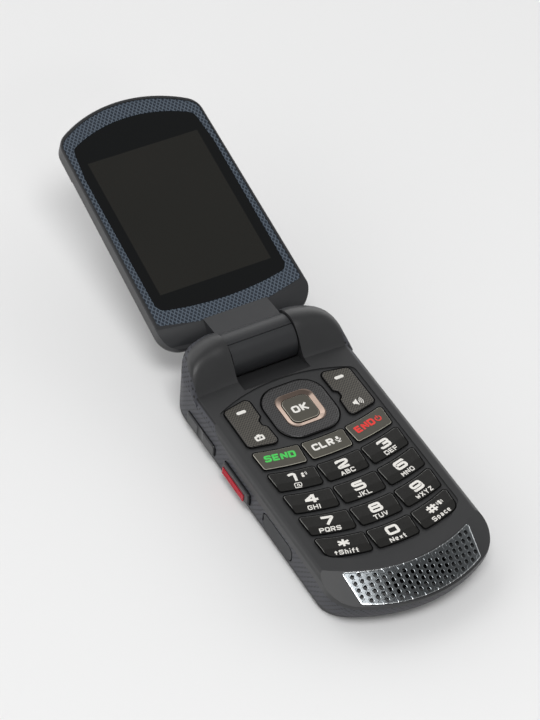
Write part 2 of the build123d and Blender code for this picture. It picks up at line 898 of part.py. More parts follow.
with BuildPart() as nav_ring:
    extrude(nav_outline(nav_bottom_z, nav_w, nav_l, nav_corner), amount=deck_z + nav_proud - nav_bottom_z)
    fillet(nav_ring.faces().sort_by(Axis.Z)[-1].edges(), 2 * key_edge_r)
    grown = nav_outline(nav_bottom_z, nav_w + 2 * flange_w, nav_l + 2 * flange_w, nav_corner + flange_w)
    extrude(grown, amount=nav_flange_t)
    trim_hole = nav_outline(0, trim_w + fit_gap, trim_l + fit_gap, trim_corner)
    extrude(trim_hole, amount=2 * deck_z, mode=Mode.SUBTRACT)
write(nav_ring, "nav_ring")

with BuildPart() as nav_trim:
    frame_outline = nav_outline(nav_bottom_z, trim_w, trim_l, trim_corner)
    extrude(frame_outline, amount=deck_z + trim_proud - nav_bottom_z)
    inner_w = ok_w + 2 * key_gap
    inner_l = ok_w + (trim_l - trim_w) + 2 * key_gap
    extrude(nav_outline(0, inner_w, inner_l, ok_corner + key_gap), amount=2 * deck_z, mode=Mode.SUBTRACT)
    trim_top = nav_trim.faces().sort_by(Axis.Z)[-1]
    bevel_w = (trim_w - inner_w) / 2 - trim_rim_w
    chamfer(trim_top.inner_wires()[0].edges(), bevel_w, trim_bevel, reference=trim_top)
write(nav_trim, "nav_trim")

with BuildPart() as ok_key:
    ok_outline = nav_outline(key_bottom_z, ok_w, ok_w + trim_l - trim_w, ok_corner)
    extrude(ok_outline, amount=deck_z + key_proud - key_bottom_z)
    fillet(ok_key.faces().sort_by(Axis.Z)[-1].edges(), key_edge_r)
write(ok_key, "ok_key")

with BuildPart() as nav_pad:
    with BuildSketch(Plane.XY.offset(pad_z)):
        with Locations((0, nav_y)):
            Circle(pad_out_r)
            Circle(pad_in_r, mode=Mode.SUBTRACT)
    extrude(amount=pad_t)
write(nav_pad, "nav_pad")

# Speaker, its grille, the microphone and the vibration motor
with BuildPart() as speaker_grille:
    extrude(grille_outline(bay_floor_z), amount=deck_z)
    add(slope_layer(-grille_proud, grille_t - grille_proud), mode=Mode.INTERSECT)
    with BuildSketch(Plane.XY.offset(bay_floor_z)):
        with Locations(*grille_hole_places()):
            Circle(hole_r)
    extrude(amount=deck_z, mode=Mode.SUBTRACT)
write(speaker_grille, "speaker_grille")

with BuildPart() as speaker:
    with BuildSketch(Plane.XY.offset(shelf_z + shelf_t)):
        with Locations((0, speaker_y)):
            RectangleRounded(speaker_w, speaker_l, 3)
    extrude(amount=speaker_h)
write(speaker, "speaker")

with BuildPart() as microphone:
    with BuildSketch(Plane.XY.offset(board_z + board_t)):
        with Locations(mic_place):
            Circle(mic_r)
    extrude(amount=mic_h)
write(microphone, "microphone")

motor_r = 2.0
motor_l = 10.0
motor_shaft_r = 0.5
weight_r = 1.8
weight_l = 3.5
weight_cut = 0.3
motor_x = -9.0
motor_y = bay_near_y - bay_wall - motor_r - run_gap
motor_z = 4.9

with BuildPart() as vibration_motor:
    with BuildSketch(Plane.YZ.offset(motor_x)):
        with Locations((motor_y, motor_z)):
            Circle(motor_r)
    extrude(amount=motor_l)
    with BuildSketch(Plane.YZ.offset(motor_x + motor_l)):
        with Locations((motor_y, motor_z)):
            Circle(motor_shaft_r)
    extrude(amount=weight_l + 2)
write(vibration_motor, "vibration_motor")

with BuildPart() as vibration_weight:
    with BuildSketch(Plane.YZ.offset(motor_x + motor_l + 1)):
        with Locations((motor_y, motor_z)):
            Circle(weight_r)
        with Locations((motor_y, motor_z + motor_shaft_r + weight_cut)):
            Rectangle(2 * weight_r, 2 * weight_r, align=(Align.CENTER, Align.MIN), mode=Mode.SUBTRACT)
        with Locations((motor_y, motor_z)):
            Circle(motor_shaft_r + run_gap, mode=Mode.SUBTRACT)
    extrude(amount=weight_l)
write(vibration_weight, "vibration_weight")

# Board behind the side keys, with a raised switch under each place that is pressed
switch_l = 3.0
switch_w = 2.6
switch_h = 1.0
side_board_z = 3.0
side_board_near_y = 0.5
side_board_far_y = 34.0
volume_switch_y = 5.0

with BuildPart() as side_key_board:
    with BuildSketch(Plane.YZ.offset(-board_back_x)):
        with Locations((side_board_near_y, side_board_z)):
            Rectangle(
                side_board_far_y - side_board_near_y,
                board_z - seam_gap - side_board_z,
                align=(Align.MIN, Align.MIN),
            )
    extrude(amount=-side_board_t)
    with BuildSketch(Plane.YZ.offset(-board_back_x - side_board_t)):
        with Locations((talk_y, talk_z)):
            Rectangle(switch_l, switch_w)
        with Locations((volume_y, volume_z)):
            with GridLocations(2 * volume_switch_y, switch_w, 2, 1):
                Rectangle(switch_l, switch_w)
    extrude(amount=-switch_h)
write(side_key_board, "side_key_board")


# Cap of a side key with a wider flange that stays behind the wall
side_flange_t = 0.55
side_flange_l = 0.5
cap_edge_r = 0.45


def side_key(y, z, length, height, proud, flange_x):
    with BuildPart() as key:
        with BuildSketch(Plane.YZ.offset(-flange_x)):
            with Locations((y, z)):
                RectangleRounded(length, height, side_corner)
        extrude(amount=flange_x - base_half_w - proud)
        fillet(key.faces().sort_by(Axis.X)[0].edges(), cap_edge_r)
        with BuildSketch(Plane.YZ.offset(-flange_x)):
            with Locations((y, z)):
                Rectangle(length + 2 * side_flange_l, height)
        extrude(amount=side_flange_t)
    return key.part


inner_wall_x = base_half_w - wall
volume_play = 0.4
volume_dip = 0.35
volume_dip_l = 3.4

with BuildPart() as volume_key:
    add(side_key(volume_y, volume_z, volume_l, volume_h, side_key_proud, inner_wall_x - volume_play))
    with BuildSketch(Plane.XY.offset(volume_z)):
        with Locations((-base_half_w - side_key_proud, volume_y)):
            Ellipse(volume_dip, volume_dip_l / 2)
    extrude(amount=volume_h, both=True, mode=Mode.SUBTRACT)
write(volume_key, "volume_key")

insert_l = 11.9
insert_y = 8.65
insert_z = 4.3
insert_h = 2.4
insert_depth = 0.5
rib_pitch = 0.6
rib_depth = 0.25
talk_face_x = base_half_w + talk_proud

with BuildPart() as talk_key:
    add(side_key(talk_y, talk_z, talk_l, talk_h, talk_proud, inner_wall_x - fit_gap))
    with BuildSketch(Plane.YZ.offset(-talk_face_x)):
        with Locations((insert_y, insert_z)):
            Rectangle(insert_l + 2 * seam_gap, insert_h + 2 * seam_gap)
    extrude(amount=insert_depth, mode=Mode.SUBTRACT)
write(talk_key, "talk_key")

with BuildPart() as talk_insert:
    with BuildSketch(Plane.YZ.offset(-talk_face_x + insert_depth)):
        with Locations((insert_y, insert_z)):
            Rectangle(insert_l, insert_h)
    extrude(amount=-insert_depth - rib_depth)
    with BuildSketch(Plane.YZ.offset(-talk_face_x - rib_depth)):
        with Locations((insert_y, insert_z)):
            with GridLocations(rib_pitch, insert_h, int(insert_l / rib_pitch) - 1, 1):
                Rectangle(rib_pitch / 2, 2 * insert_h)
    extrude(amount=rib_depth, mode=Mode.SUBTRACT)
write(talk_insert, "talk_insert")

# Covers over the charging socket and the headset socket, each on a rubber strap at one end
cover_proud = 0.1
nail_notch = 1.2
nail_corner = 0.59


def socket_cover(side, y, z, length, height, corner):
    with BuildPart() as cover:
        with BuildSketch(Plane.YZ.offset(side * (base_half_w + cover_proud))):
            with Locations((y, z)):
                RectangleRounded(length, height, corner)
        extrude(amount=-side * (cover_skin + cover_proud))
        with BuildSketch(Plane.YZ.offset(side * (base_half_w + cover_proud))):
            with Locations((y + length / 2, z)):
                RectangleRounded(nail_notch, 2 * nail_notch, nail_corner)
        extrude(amount=-side * cover_skin / 2, mode=Mode.SUBTRACT)
    return cover


port_cover = socket_cover(-1, port_y, port_z, port_l, port_h, port_corner)
write(port_cover, "port_cover")
headset_cover = socket_cover(1, jack_y, jack_z, jack_cover_l, jack_cover_h, jack_corner)
write(headset_cover, "headset_cover")

usb_w = 7.6
usb_h = 2.7
usb_l = 5.25
usb_wall = 0.3
usb_tongue_w = 3.8
usb_tongue_t = 0.6

with BuildPart() as usb_socket:
    with BuildSketch(Plane.YZ.offset(-inner_wall_x + run_gap)):
        with Locations((port_y, board_z - usb_h / 2)):
            RectangleRounded(usb_w, usb_h, usb_h / 4)
    extrude(amount=usb_l)
    with BuildSketch(Plane.YZ.offset(-inner_wall_x + run_gap)):
        with Locations((port_y, board_z - usb_h / 2)):
            RectangleRounded(usb_w - 2 * usb_wall, usb_h - 2 * usb_wall, usb_h / 4 - usb_wall)
    extrude(amount=usb_l - 2 * usb_wall, mode=Mode.SUBTRACT)
    with BuildSketch(Plane.YZ.offset(-inner_wall_x + run_gap + 2 * usb_wall)):
        with Locations((port_y, board_z - usb_h / 2)):
            Rectangle(usb_tongue_w, usb_tongue_t)
    extrude(amount=usb_l - 3 * usb_wall)
write(usb_socket, "usb_socket")

jack_body_w = 6.0
jack_body_h = 4.2

with BuildPart() as headset_jack:
    with BuildSketch(Plane.YZ.offset(inner_wall_x - run_gap)):
        with Locations((jack_y, board_z - jack_body_h / 2)):
            Rectangle(jack_body_w, jack_body_h)
    extrude(amount=-jack_l - 2 * usb_wall)
    with BuildSketch(Plane.YZ.offset(inner_wall_x - run_gap)):
        with Locations((jack_y, jack_z)):
            Circle(jack_bore_r)
    extrude(amount=-jack_l, mode=Mode.SUBTRACT)
write(headset_jack, "headset_jack")

with BuildPart() as base_screws:
    with BuildSketch(Plane.XY.offset(screw_z)):
        with Locations(*screw_places):
            Circle(screw_head_r)
    extrude(amount=screw_head_t)
    with BuildSketch(Plane.XY.offset(screw_z)):
        with Locations(*screw_places):
            Circle(screw_r)
    extrude(amount=screw_tip_z - screw_z)
    with BuildSketch(Plane.XY.offset(screw_z)):
        with Locations(*screw_places):
            RegularPolygon(screw_r, 6)
    extrude(amount=screw_head_t / 2, mode=Mode.SUBTRACT)
write(base_screws, "base_screws")

# Hinge shaft, keyed into the left knuckle, and the hollow bush in the right one, the flex rolled inside it
with BuildPart() as hinge_shaft:
    with BuildSketch(Plane.YZ.offset(-knuckle_face)):
        with Locations((hinge_y, hinge_z)):
            Rectangle(shaft_key, shaft_key)
    extrude(amount=-shaft_key_l)
    with BuildSketch(Plane.YZ.offset(-knuckle_face)):
        with Locations((hinge_y, hinge_z)):
            Circle(shaft_r)
    extrude(amount=shaft_l)
write(hinge_shaft, "hinge_shaft")

with BuildPart() as pivot_bush:
    with BuildSketch(Plane.YZ.offset(knuckle_face + bush_in_knuckle)):
        with Locations((hinge_y, hinge_z)):
            Circle(bush_r)
            Circle(bush_in_r, mode=Mode.SUBTRACT)
    extrude(amount=-bush_in_knuckle - bush_in_barrel)
write(pivot_bush, "pivot_bush")

flex_r = 2.9
flex_t = 0.25
flex_open_deg = 60.0

with BuildPart() as hinge_flex:
    with BuildSketch(Plane.YZ.offset(knuckle_face + bush_in_knuckle)):
        with Locations((hinge_y, hinge_z)):
            Circle(flex_r)
            Circle(flex_r - flex_t, mode=Mode.SUBTRACT)
            Polygon(
                (0, 0),
                (2 * flex_r, 2 * flex_r * sin(radians(flex_open_deg / 2))),
                (2 * flex_r, -2 * flex_r * sin(radians(flex_open_deg / 2))),
                align=None,
                mode=Mode.SUBTRACT,
            )
    extrude(amount=-bush_in_knuckle - bush_in_barrel + fit_gap)
write(hinge_flex, "hinge_flex")

# Lid. Its planes stand at the hinge axis and lean with the lid; sketches use x across and y along the lid.
lean = radians(lid_rest_deg)
lid_face = Plane(origin=(0, hinge_y, hinge_z), x_dir=(1, 0, 0), z_dir=(0, -sin(lean), cos(lean)))
lid_side = Plane(origin=(0, hinge_y, hinge_z), x_dir=(0, cos(lean), sin(lean)), z_dir=(1, 0, 0))
lid_back_skin = 1.0
plate_low_h = -1.7
plate_top_h = -0.65
lid_boss_r = 1.7
lid_screw_near_x = lid_near_half - 3.7
lid_screw_far_x = lid_far_half - 5.2
lid_screw_near_d = 18.0
lid_screw_far_d = 82.4
lid_screw_places = (
    (-lid_screw_near_x, lid_screw_near_d),
    (lid_screw_near_x, lid_screw_near_d),
    (-lid_screw_far_x, lid_screw_far_d),
    (lid_screw_far_x, lid_screw_far_d),
)


def lid_outline(h, inset=0.0):
    with BuildSketch(lid_face.offset(h)) as outline:
        with BuildLine():
            far = ThreePointArc((-lid_far_half, lid_shoulder), (0, lid_far), (lid_far_half, lid_shoulder))
            near = Line((-lid_near_half, lid_near), (lid_near_half, lid_near))
            Line(far @ 0, near @ 0)
            Line(far @ 1, near @ 1)
        make_face()
        fillet(outline.vertices().group_by(Axis.Y)[0], lid_near_corner)
        fillet(outline.vertices().group_by(Axis.Y)[-1], lid_far_corner)
        if inset != 0:
            offset(amount=-inset)
    return outline.sketch


# Ramp across the near end of the lid's inner half, which clears the shoulders when the lid is shut. Its
# edge on the face is an arc; the ramp is turned about that arc's centre.
ramp_edge_d = 12.7
ramp_edge_r = 143.0
ramp_mid_d = 10.05
ramp_mid_h = -0.7
ramp_foot_h = -2.3
ramp_turn_deg = 12.0


def lid_ramp():
    with BuildPart() as ramp:
        with BuildSketch(lid_side) as profile:
            with BuildLine():
                edge = (ramp_edge_d, lid_face_h)
                top = ThreePointArc(edge, (ramp_mid_d, ramp_mid_h), (lid_near, ramp_foot_h))
                Polyline(top @ 1, (0, ramp_foot_h), (0, lid_t), (ramp_edge_d, lid_t), top @ 0)
            make_face()
        turn_axis = Axis(lid_face.from_local_coords((0, ramp_edge_d + ramp_edge_r, 0)), lid_face.z_dir)
        revolve(axis=turn_axis, revolution_arc=ramp_turn_deg)
        revolve(profile.sketch, axis=turn_axis, revolution_arc=-ramp_turn_deg)
    return ramp.part


# Edge of the patterned panel round the window
panel_near = 16.0
panel_notch_d = 13.35
panel_notch_half = 11.7
panel_near_half = lid_near_half - 1.3
panel_far_half = lid_far_half - 0.8
panel_shoulder = 83.0
panel_far = 90.6
panel_corner = 3.5
panel_edge_corner = 1.2


def panel_outline(h, grow=0.0):
    with BuildSketch(lid_face.offset(h)) as outline:
        with BuildLine():
            ends = ((-panel_far_half, panel_shoulder), (panel_far_half, panel_shoulder))
            far = ThreePointArc(ends[0], (0, panel_far), ends[1])
            Polyline(
                far @ 0,
                (-panel_near_half, panel_near),
                (-panel_notch_half, panel_notch_d),
                (panel_notch_half, panel_notch_d),
                (panel_near_half, panel_near),
                far @ 1,
            )
        make_face()
        fillet(outline.vertices().group_by(Axis.Y)[-1], panel_corner)
        outer = outline.vertices().group_by(Axis.X)
        fillet(outer[0] + outer[-1], panel_edge_corner)
        if grow > 0:
            offset(amount=grow)
    return outline.sketch


window_near = 18.15
window_low = 20.6
window_bend = 69.0
window_far_half = window_half - 1.2
window_shoulder = 80.2
window_far = 85.4
window_corner = 3.0


def window_outline(h, grow=0.0):
    with BuildSketch(lid_face.offset(h)) as outline:
        with BuildLine():
            near = ThreePointArc((-window_half, window_low), (0, window_near), (window_half, window_low))
            ends = ((-window_far_half, window_shoulder), (window_far_half, window_shoulder))
            far = ThreePointArc(ends[0], (0, window_far), ends[1])
            Polyline(near @ 0, (-window_half, window_bend), far @ 0)
            Polyline(near @ 1, (window_half, window_bend), far @ 1)
        make_face()
        by_height = outline.vertices().sort_by(Axis.Y)
        fillet(by_height[:2] + by_height[-2:], window_corner)
        if grow > 0:
            offset(amount=grow)
    return outline.sketch


# Neck and barrel, seen from the side. The skin over them belongs to the inner half of the lid.
neck_end = 13.3
neck_end_h = 0.75
skin_r = 5.2
skin_turn_deg = 58.6
skin_inner_turn_deg = 62.4
skin_end_h = -0.6
web_near_h = 2.6
seam_groove = 0.25


def around(radius, degrees):
    return (radius * sin(radians(degrees)), radius * cos(radians(degrees)))


def neck_skin(grow=0.0):
    with BuildPart() as skin:
        with BuildSketch(lid_side.offset(-barrel_half - grow)) as profile:
            with BuildLine():
                outer = ThreePointArc(
                    around(barrel_r, 0),
                    around(barrel_r, skin_turn_deg / 2),
                    around(barrel_r, skin_turn_deg),
                )
                inner = ThreePointArc(
                    around(skin_r, 0),
                    around(skin_r, skin_inner_turn_deg / 2),
                    around(skin_r, skin_inner_turn_deg),
                )
                Polyline(outer @ 1, (neck_end, neck_end_h), (neck_end, skin_end_h), inner @ 1)
                Line(outer @ 0, inner @ 0)
            make_face()
            if grow > 0:
                offset(amount=grow)
        extrude(amount=2 * (barrel_half + grow))
    return skin.part


lid_back_h = lid_face_h - lid_t
lid_axis = Axis((0, hinge_y, hinge_z), (0, -sin(lean), cos(lean)))
rim_r = 0.5
bumper_start = 73.0
bumper_proud = 0.35
lid_screw_head_h = -1.5
lid_screw_head_t = 0.7
lid_screw_tip_h = -4.6
camera_d = 18.0
camera_w = 6.0
lens_r = 3.2
flash_r = 1.4
flash_x = 8.5
outer_window_w = 24.0
outer_window_l = 20.0
outer_window_d = 46.5
cartridge_r = 2.9
cartridge_far_x = 2.0
cartridge_rib = 1.0


# Back shell of the lid as a plain closed form down to a given back level
def lid_back_form(back_h):
    with BuildPart() as shell:
        extrude(lid_outline(back_h), amount=lid_seam_h - seam_gap - back_h)
        fillet(shell.faces().sort_by(lid_axis)[0].edges(), lid_edge_r)
    return shell.part


def lid_bumper():
    with BuildPart() as bumper:
        add(lid_back_form(lid_back_h - bumper_proud))
        with BuildSketch(lid_face.offset(lid_back_h - 2 * bumper_proud)):
            with Locations((0, bumper_start)):
                Rectangle(4 * lid_near_half, lid_far, align=(Align.CENTER, Align.MIN))
        extrude(amount=lid_t, mode=Mode.INTERSECT)
    return bumper.part


# Web of the neck inside the inner half of the lid, from its near end to where the skin ends
def neck_web():
    with BuildPart() as web:
        with BuildSketch(lid_side.offset(-barrel_half)):
            with BuildLine():
                Polyline(
                    (lid_near, lid_seam_h),
                    (neck_end, lid_seam_h),
                    (neck_end, neck_end_h),
                    (lid_near, web_near_h),
                    close=True,
                )
            make_face()
        extrude(amount=2 * barrel_half)
    return web.part


# Solid neck and barrel under the skin, kept clear of the inner half of the lid
def neck_block():
    with BuildPart() as block:
        with BuildSketch(lid_side.offset(-barrel_half)):
            Circle(barrel_r)
            with BuildLine():
                Polyline(
                    (0, 0),
                    around(barrel_r, skin_turn_deg),
                    (neck_end, neck_end_h),
                    (neck_end, lid_back_h),
                    (0, -barrel_r),
                    close=True,
                )
            make_face()
        extrude(amount=2 * barrel_half)
        extrude(lid_outline(lid_seam_h - seam_gap, -seam_gap), amount=lid_t, mode=Mode.SUBTRACT)
        add(neck_skin(seam_gap), mode=Mode.SUBTRACT)
        # Groove along the barrel where the skin ends
        with BuildSketch(lid_side.offset(-barrel_half)):
            with Locations((0, barrel_r)):
                Rectangle(seam_groove, 2 * seam_groove, align=(Align.MAX, Align.CENTER))
        extrude(amount=2 * barrel_half, mode=Mode.SUBTRACT)
    return block.part


# Hollow of the inner half, which stops short of the ramp
inner_hollow_near = 13.6


def inner_hollow():
    with BuildPart() as hollow:
        extrude(lid_outline(lid_seam_h, lid_wall), amount=plate_low_h - lid_seam_h)
        with BuildSketch(lid_face.offset(lid_seam_h)):
            with Locations((0, inner_hollow_near)):
                Rectangle(4 * lid_near_half, lid_far, align=(Align.CENTER, Align.MAX))
        extrude(amount=lid_t, mode=Mode.SUBTRACT)
    return hollow.part


neck_room_near = 8.0
neck_room_half = 9.0
neck_room_h = -0.9
neck_room_far = 11.2
flex_slot_x = 6.0
flex_slot_w = 3.5

with BuildPart() as lid_inner_housing:
    extrude(lid_outline(lid_seam_h), amount=lid_face_h - lid_seam_h)
    fillet(lid_inner_housing.faces().sort_by(lid_axis)[-1].edges(), rim_r)
    add(lid_ramp(), mode=Mode.SUBTRACT)
    add(inner_hollow(), mode=Mode.SUBTRACT)
    extrude(panel_outline(plate_top_h, fit_gap), amount=lid_t, mode=Mode.SUBTRACT)
    with BuildSketch(lid_face.offset(plate_low_h)):
        with Locations((0, screen_near + screen_l / 2)):
            Rectangle(screen_w + 2 * key_gap, screen_l + 2 * key_gap)
    extrude(amount=plate_top_h - plate_low_h, mode=Mode.SUBTRACT)
    with BuildSketch(lid_face.offset(lid_seam_h)):
        with Locations(*lid_screw_places):
            Circle(lid_boss_r)
    extrude(amount=plate_low_h - lid_seam_h)
    add(neck_skin())
    add(neck_web())
    # Room in the neck for the flex, open to the barrel and to the hollow
    for far, top_h in ((neck_room_far, neck_room_h), (inner_hollow_near, plate_low_h)):
        with BuildSketch(lid_face.offset(lid_seam_h)):
            with Locations((0, lid_near)):
                Rectangle(2 * neck_room_half, far - lid_near, align=(Align.CENTER, Align.MIN))
        extrude(amount=top_h - lid_seam_h, mode=Mode.SUBTRACT)
    with BuildSketch(lid_face.offset(lid_seam_h)):
        with Locations(*lid_screw_places):
            Circle(screw_r + run_gap)
    extrude(amount=plate_top_h - lid_seam_h, mode=Mode.SUBTRACT)
    with BuildSketch(lid_face.offset(lid_screw_head_h)):
        with Locations(*lid_screw_places):
            Circle(screw_head_r + fit_gap)
    extrude(amount=plate_top_h - lid_screw_head_h, mode=Mode.SUBTRACT)
write(lid_inner_housing, "lid_inner_housing")

with BuildPart() as lid_outer_housing:
    add(lid_back_form(lid_back_h))
    add(lid_bumper())
    extrude(lid_outline(lid_back_h + lid_back_skin, lid_wall), amount=lid_t, mode=Mode.SUBTRACT)
    with BuildSketch(lid_face.offset(lid_back_h + lid_back_skin)):
        with Locations(*lid_screw_places):
            Circle(lid_boss_r)
    extrude(amount=lid_seam_h - seam_gap - lid_back_h - lid_back_skin)
    add(neck_block())
    with BuildSketch(lid_face.offset(lid_screw_tip_h - fit_gap)):
        with Locations(*lid_screw_places):
            Circle(screw_r + run_gap)
    extrude(amount=lid_t, mode=Mode.SUBTRACT)
    # Room in the neck for the flex, and its way in from the hinge
    with BuildSketch(lid_face.offset(lid_back_h + lid_back_skin)):
        with Locations((0, neck_room_near)):
            room_l = inner_hollow_near - neck_room_near
            Rectangle(2 * neck_room_half, room_l, align=(Align.CENTER, Align.MIN))
    extrude(amount=lid_seam_h - lid_back_h - lid_back_skin, mode=Mode.SUBTRACT)
    with BuildSketch(lid_face.offset(lid_seam_h)):
        with Locations((flex_slot_x, 0)):
            Rectangle(flex_slot_w, lid_near, align=(Align.MIN, Align.MIN))
    extrude(amount=neck_room_h - lid_seam_h, mode=Mode.SUBTRACT)
    # Seat for the hinge cartridge on the left, running bore for the bush on the right
    with BuildSketch(lid_side.offset(-barrel_half)):
        Circle(cartridge_r + run_gap)
        with Locations((0, -cartridge_r)):
            Rectangle(cartridge_rib + 2 * run_gap, 2 * cartridge_rib + 2 * run_gap)
    extrude(amount=barrel_half + cartridge_far_x + fit_gap, mode=Mode.SUBTRACT)
    with BuildSketch(lid_side.offset(barrel_half)):
        Circle(bush_r + run_gap)
    extrude(amount=knuckle_face - bush_in_barrel - fit_gap - barrel_half, mode=Mode.SUBTRACT)
    # Holes in the back for the camera lens, the flash lens and the small outer window
    with BuildSketch(lid_face.offset(lid_back_h - lid_back_skin)):
        with Locations((0, camera_d)):
            Circle(lens_r + run_gap)
        with Locations((flash_x, camera_d)):
            Circle(flash_r + run_gap)
        with Locations((0, outer_window_d)):
            RectangleRounded(outer_window_w + fit_gap, outer_window_l + fit_gap, 2)
    extrude(amount=2 * lid_back_skin, mode=Mode.SUBTRACT)
write(lid_outer_housing, "lid_outer_housing")

with BuildPart() as bezel_panel:
    extrude(panel_outline(plate_top_h), amount=panel_t)
    extrude(window_outline(plate_top_h, fit_gap), amount=panel_t, mode=Mode.SUBTRACT)
write(bezel_panel, "bezel_panel")

with BuildPart() as display_window:
    extrude(window_outline(plate_top_h), amount=window_t)
write(display_window, "display_window")

module_h = -3.8
module_top_h = -1.75
module_w = screen_w + 5.28
module_l = 57.0
screen_mid = screen_near + screen_l / 2

with BuildPart() as display_module:
    with BuildSketch(lid_face.offset(module_h)):
        with Locations((0, screen_mid)):
            Rectangle(module_w, module_l)
    extrude(amount=module_top_h - module_h)
    with BuildSketch(lid_face.offset(module_top_h)):
        with Locations((0, screen_mid)):
            Rectangle(screen_w, screen_l)
    extrude(amount=plate_top_h - fit_gap - module_top_h)
write(display_module, "display_module")


# Block or disc that lies flat in the lid, from one level to another
def lid_block(x, d, width, length, low_h, high_h, corner=0.5):
    with BuildPart() as block:
        with BuildSketch(lid_face.offset(low_h)):
            with Locations((x, d)):
                RectangleRounded(width, length, corner)
        extrude(amount=high_h - low_h)
    return block


def lid_disc(x, d, radius, low_h, high_h):
    with BuildPart() as disc:
        with BuildSketch(lid_face.offset(low_h)):
            with Locations((x, d)):
                Circle(radius)
        extrude(amount=high_h - low_h)
    return disc


skin_h = lid_back_h + lid_back_skin
stack_gap = 0.45
outer_window_corner = 1.95
outer_module_w = outer_window_w + 2
outer_module_l = outer_window_l + 4
earpiece_d = 82.0
earpiece_w = 10.0
earpiece_l = 4.6
earpiece_corner = 2.2
magnet_x = 10.35 - lid_far_half
magnet_w = 4.0
magnet_l = 3.0
magnet_t = 1.2
board_low_h = module_h - stack_gap
outer_module_top_h = board_low_h - seam_gap
lid_pieces = {
    "lid_board": lid_block(0, screen_mid, module_w - 1, module_l - 2, board_low_h, module_h - seam_gap),
    "outer_display": lid_block(
        0, outer_window_d, outer_module_w, outer_module_l, skin_h + seam_gap, outer_module_top_h
    ),
    "outer_window": lid_block(
        0, outer_window_d, outer_window_w, outer_window_l, lid_back_h, skin_h, outer_window_corner
    ),
    "camera_module": lid_block(
        0, camera_d, camera_w, camera_w, skin_h + seam_gap, plate_low_h - fit_gap
    ),
    "camera_lens": lid_disc(0, camera_d, lens_r, lid_back_h - fit_gap, skin_h),
    "flash_lens": lid_disc(flash_x, camera_d, flash_r, lid_back_h, skin_h),
    "earpiece": lid_block(0, earpiece_d, earpiece_w, earpiece_l, module_h, module_top_h, earpiece_corner),
    "lid_magnet": lid_block(
        magnet_x, earpiece_d, magnet_w, magnet_l, module_top_h - magnet_t, module_top_h
    ),
}
for name, piece in lid_pieces.items():
    write(piece, name)

with BuildPart() as lid_screws:
    with BuildSketch(lid_face.offset(lid_screw_head_h)):
        with Locations(*lid_screw_places):
            Circle(screw_head_r)
    extrude(amount=lid_screw_head_t)
    with BuildSketch(lid_face.offset(lid_screw_tip_h)):
        with Locations(*lid_screw_places):
            Circle(screw_r)
    extrude(amount=lid_screw_head_h - lid_screw_tip_h)
write(lid_screws, "lid_screws")

with BuildPart() as hinge_cartridge:
    with BuildSketch(lid_side.offset(fit_gap - barrel_half)):
        Circle(cartridge_r)
        with Locations((0, -cartridge_r)):
            Rectangle(cartridge_rib, 2 * cartridge_rib)
    extrude(amount=barrel_half + cartridge_far_x - fit_gap)
    with BuildSketch(lid_side.offset(-barrel_half)):
        Circle(shaft_r + run_gap)
    extrude(amount=shaft_l, mode=Mode.SUBTRACT)
write(hinge_cartridge, "hinge_cartridge")
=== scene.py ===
# %% [markdown]
# A rugged flip phone lies open on a pale table: the keypad half is flat and the lid leans up from the hinge.
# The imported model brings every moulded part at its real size. This lesson dresses those parts with finishes,
# adds the printed legends and small marks, and lights the phone as a studio would.

from math import asin, cos, pi, radians, sin

import bpy
from mathutils import Matrix, Vector


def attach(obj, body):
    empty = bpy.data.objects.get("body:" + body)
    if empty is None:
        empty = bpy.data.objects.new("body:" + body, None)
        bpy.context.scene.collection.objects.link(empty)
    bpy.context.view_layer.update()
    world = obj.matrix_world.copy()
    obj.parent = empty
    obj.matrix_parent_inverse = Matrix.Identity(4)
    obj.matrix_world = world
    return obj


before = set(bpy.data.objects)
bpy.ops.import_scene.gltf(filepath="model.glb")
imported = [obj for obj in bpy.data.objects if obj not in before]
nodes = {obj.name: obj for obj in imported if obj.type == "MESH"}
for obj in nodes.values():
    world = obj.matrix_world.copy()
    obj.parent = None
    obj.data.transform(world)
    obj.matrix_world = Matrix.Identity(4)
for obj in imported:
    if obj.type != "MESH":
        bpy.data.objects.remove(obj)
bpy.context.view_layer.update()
MM = 0.001

# %% [markdown]
# Six small functions serve the whole script. Hex colours are what a colour picker reads off a screen, and
# shaders want linear light, so the first turns them. The second fills a socket with a link or a constant, and
# the third uses it to add any node with its settings and links. The next two fill the Principled shader,
# whose own sockets hold every constant, and start a material from it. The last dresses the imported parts.

# %% Helpers for colours, nodes and materials


def linear(hex_colour):
    parts = [int(hex_colour[k:k + 2], 16) / 255 for k in (1, 3, 5)]
    return tuple(c / 12.92 if c <= 0.04045 else ((c + 0.055) / 1.055) ** 2.4 for c in parts) + (1.0,)


def link_or_set(material, socket, value):
    """A node gives its first output in use, a socket is linked as it is, anything else is a constant."""
    if isinstance(value, bpy.types.Node):
        value = next(output for output in value.outputs if output.enabled)
    if isinstance(value, bpy.types.NodeSocket):
        material.node_tree.links.new(value, socket)
    else:
        socket.default_value = value


def add_node(material, kind, inputs=(), **settings):
    node = material.node_tree.nodes.new("ShaderNode" + kind)
    for name, value in settings.items():
        setattr(node, name, value)
    for name, value in inputs.items() if isinstance(inputs, dict) else enumerate(inputs):
        link_or_set(material, node.inputs[name], value)
    return node


def into_shader(material, **sockets):
    shader = material.node_tree.nodes["Principled BSDF"]
    for socket, value in sockets.items():
        link_or_set(material, shader.inputs[socket.replace("_", " ")], value)


def new_material(name, base, roughness, **sockets):
    material = bpy.data.materials.new(name)
    material.use_nodes = True
    into_shader(material, Base_Color=linear(base), Roughness=roughness, **sockets)
    return material


def dress(material, *names):
    for name in names:
        for slot in nodes[name].material_slots:
            slot.material = material
    print(material.name, "on", len(names), "nodes")


print("mid grey in linear light:", round(linear("#808080")[0], 3))

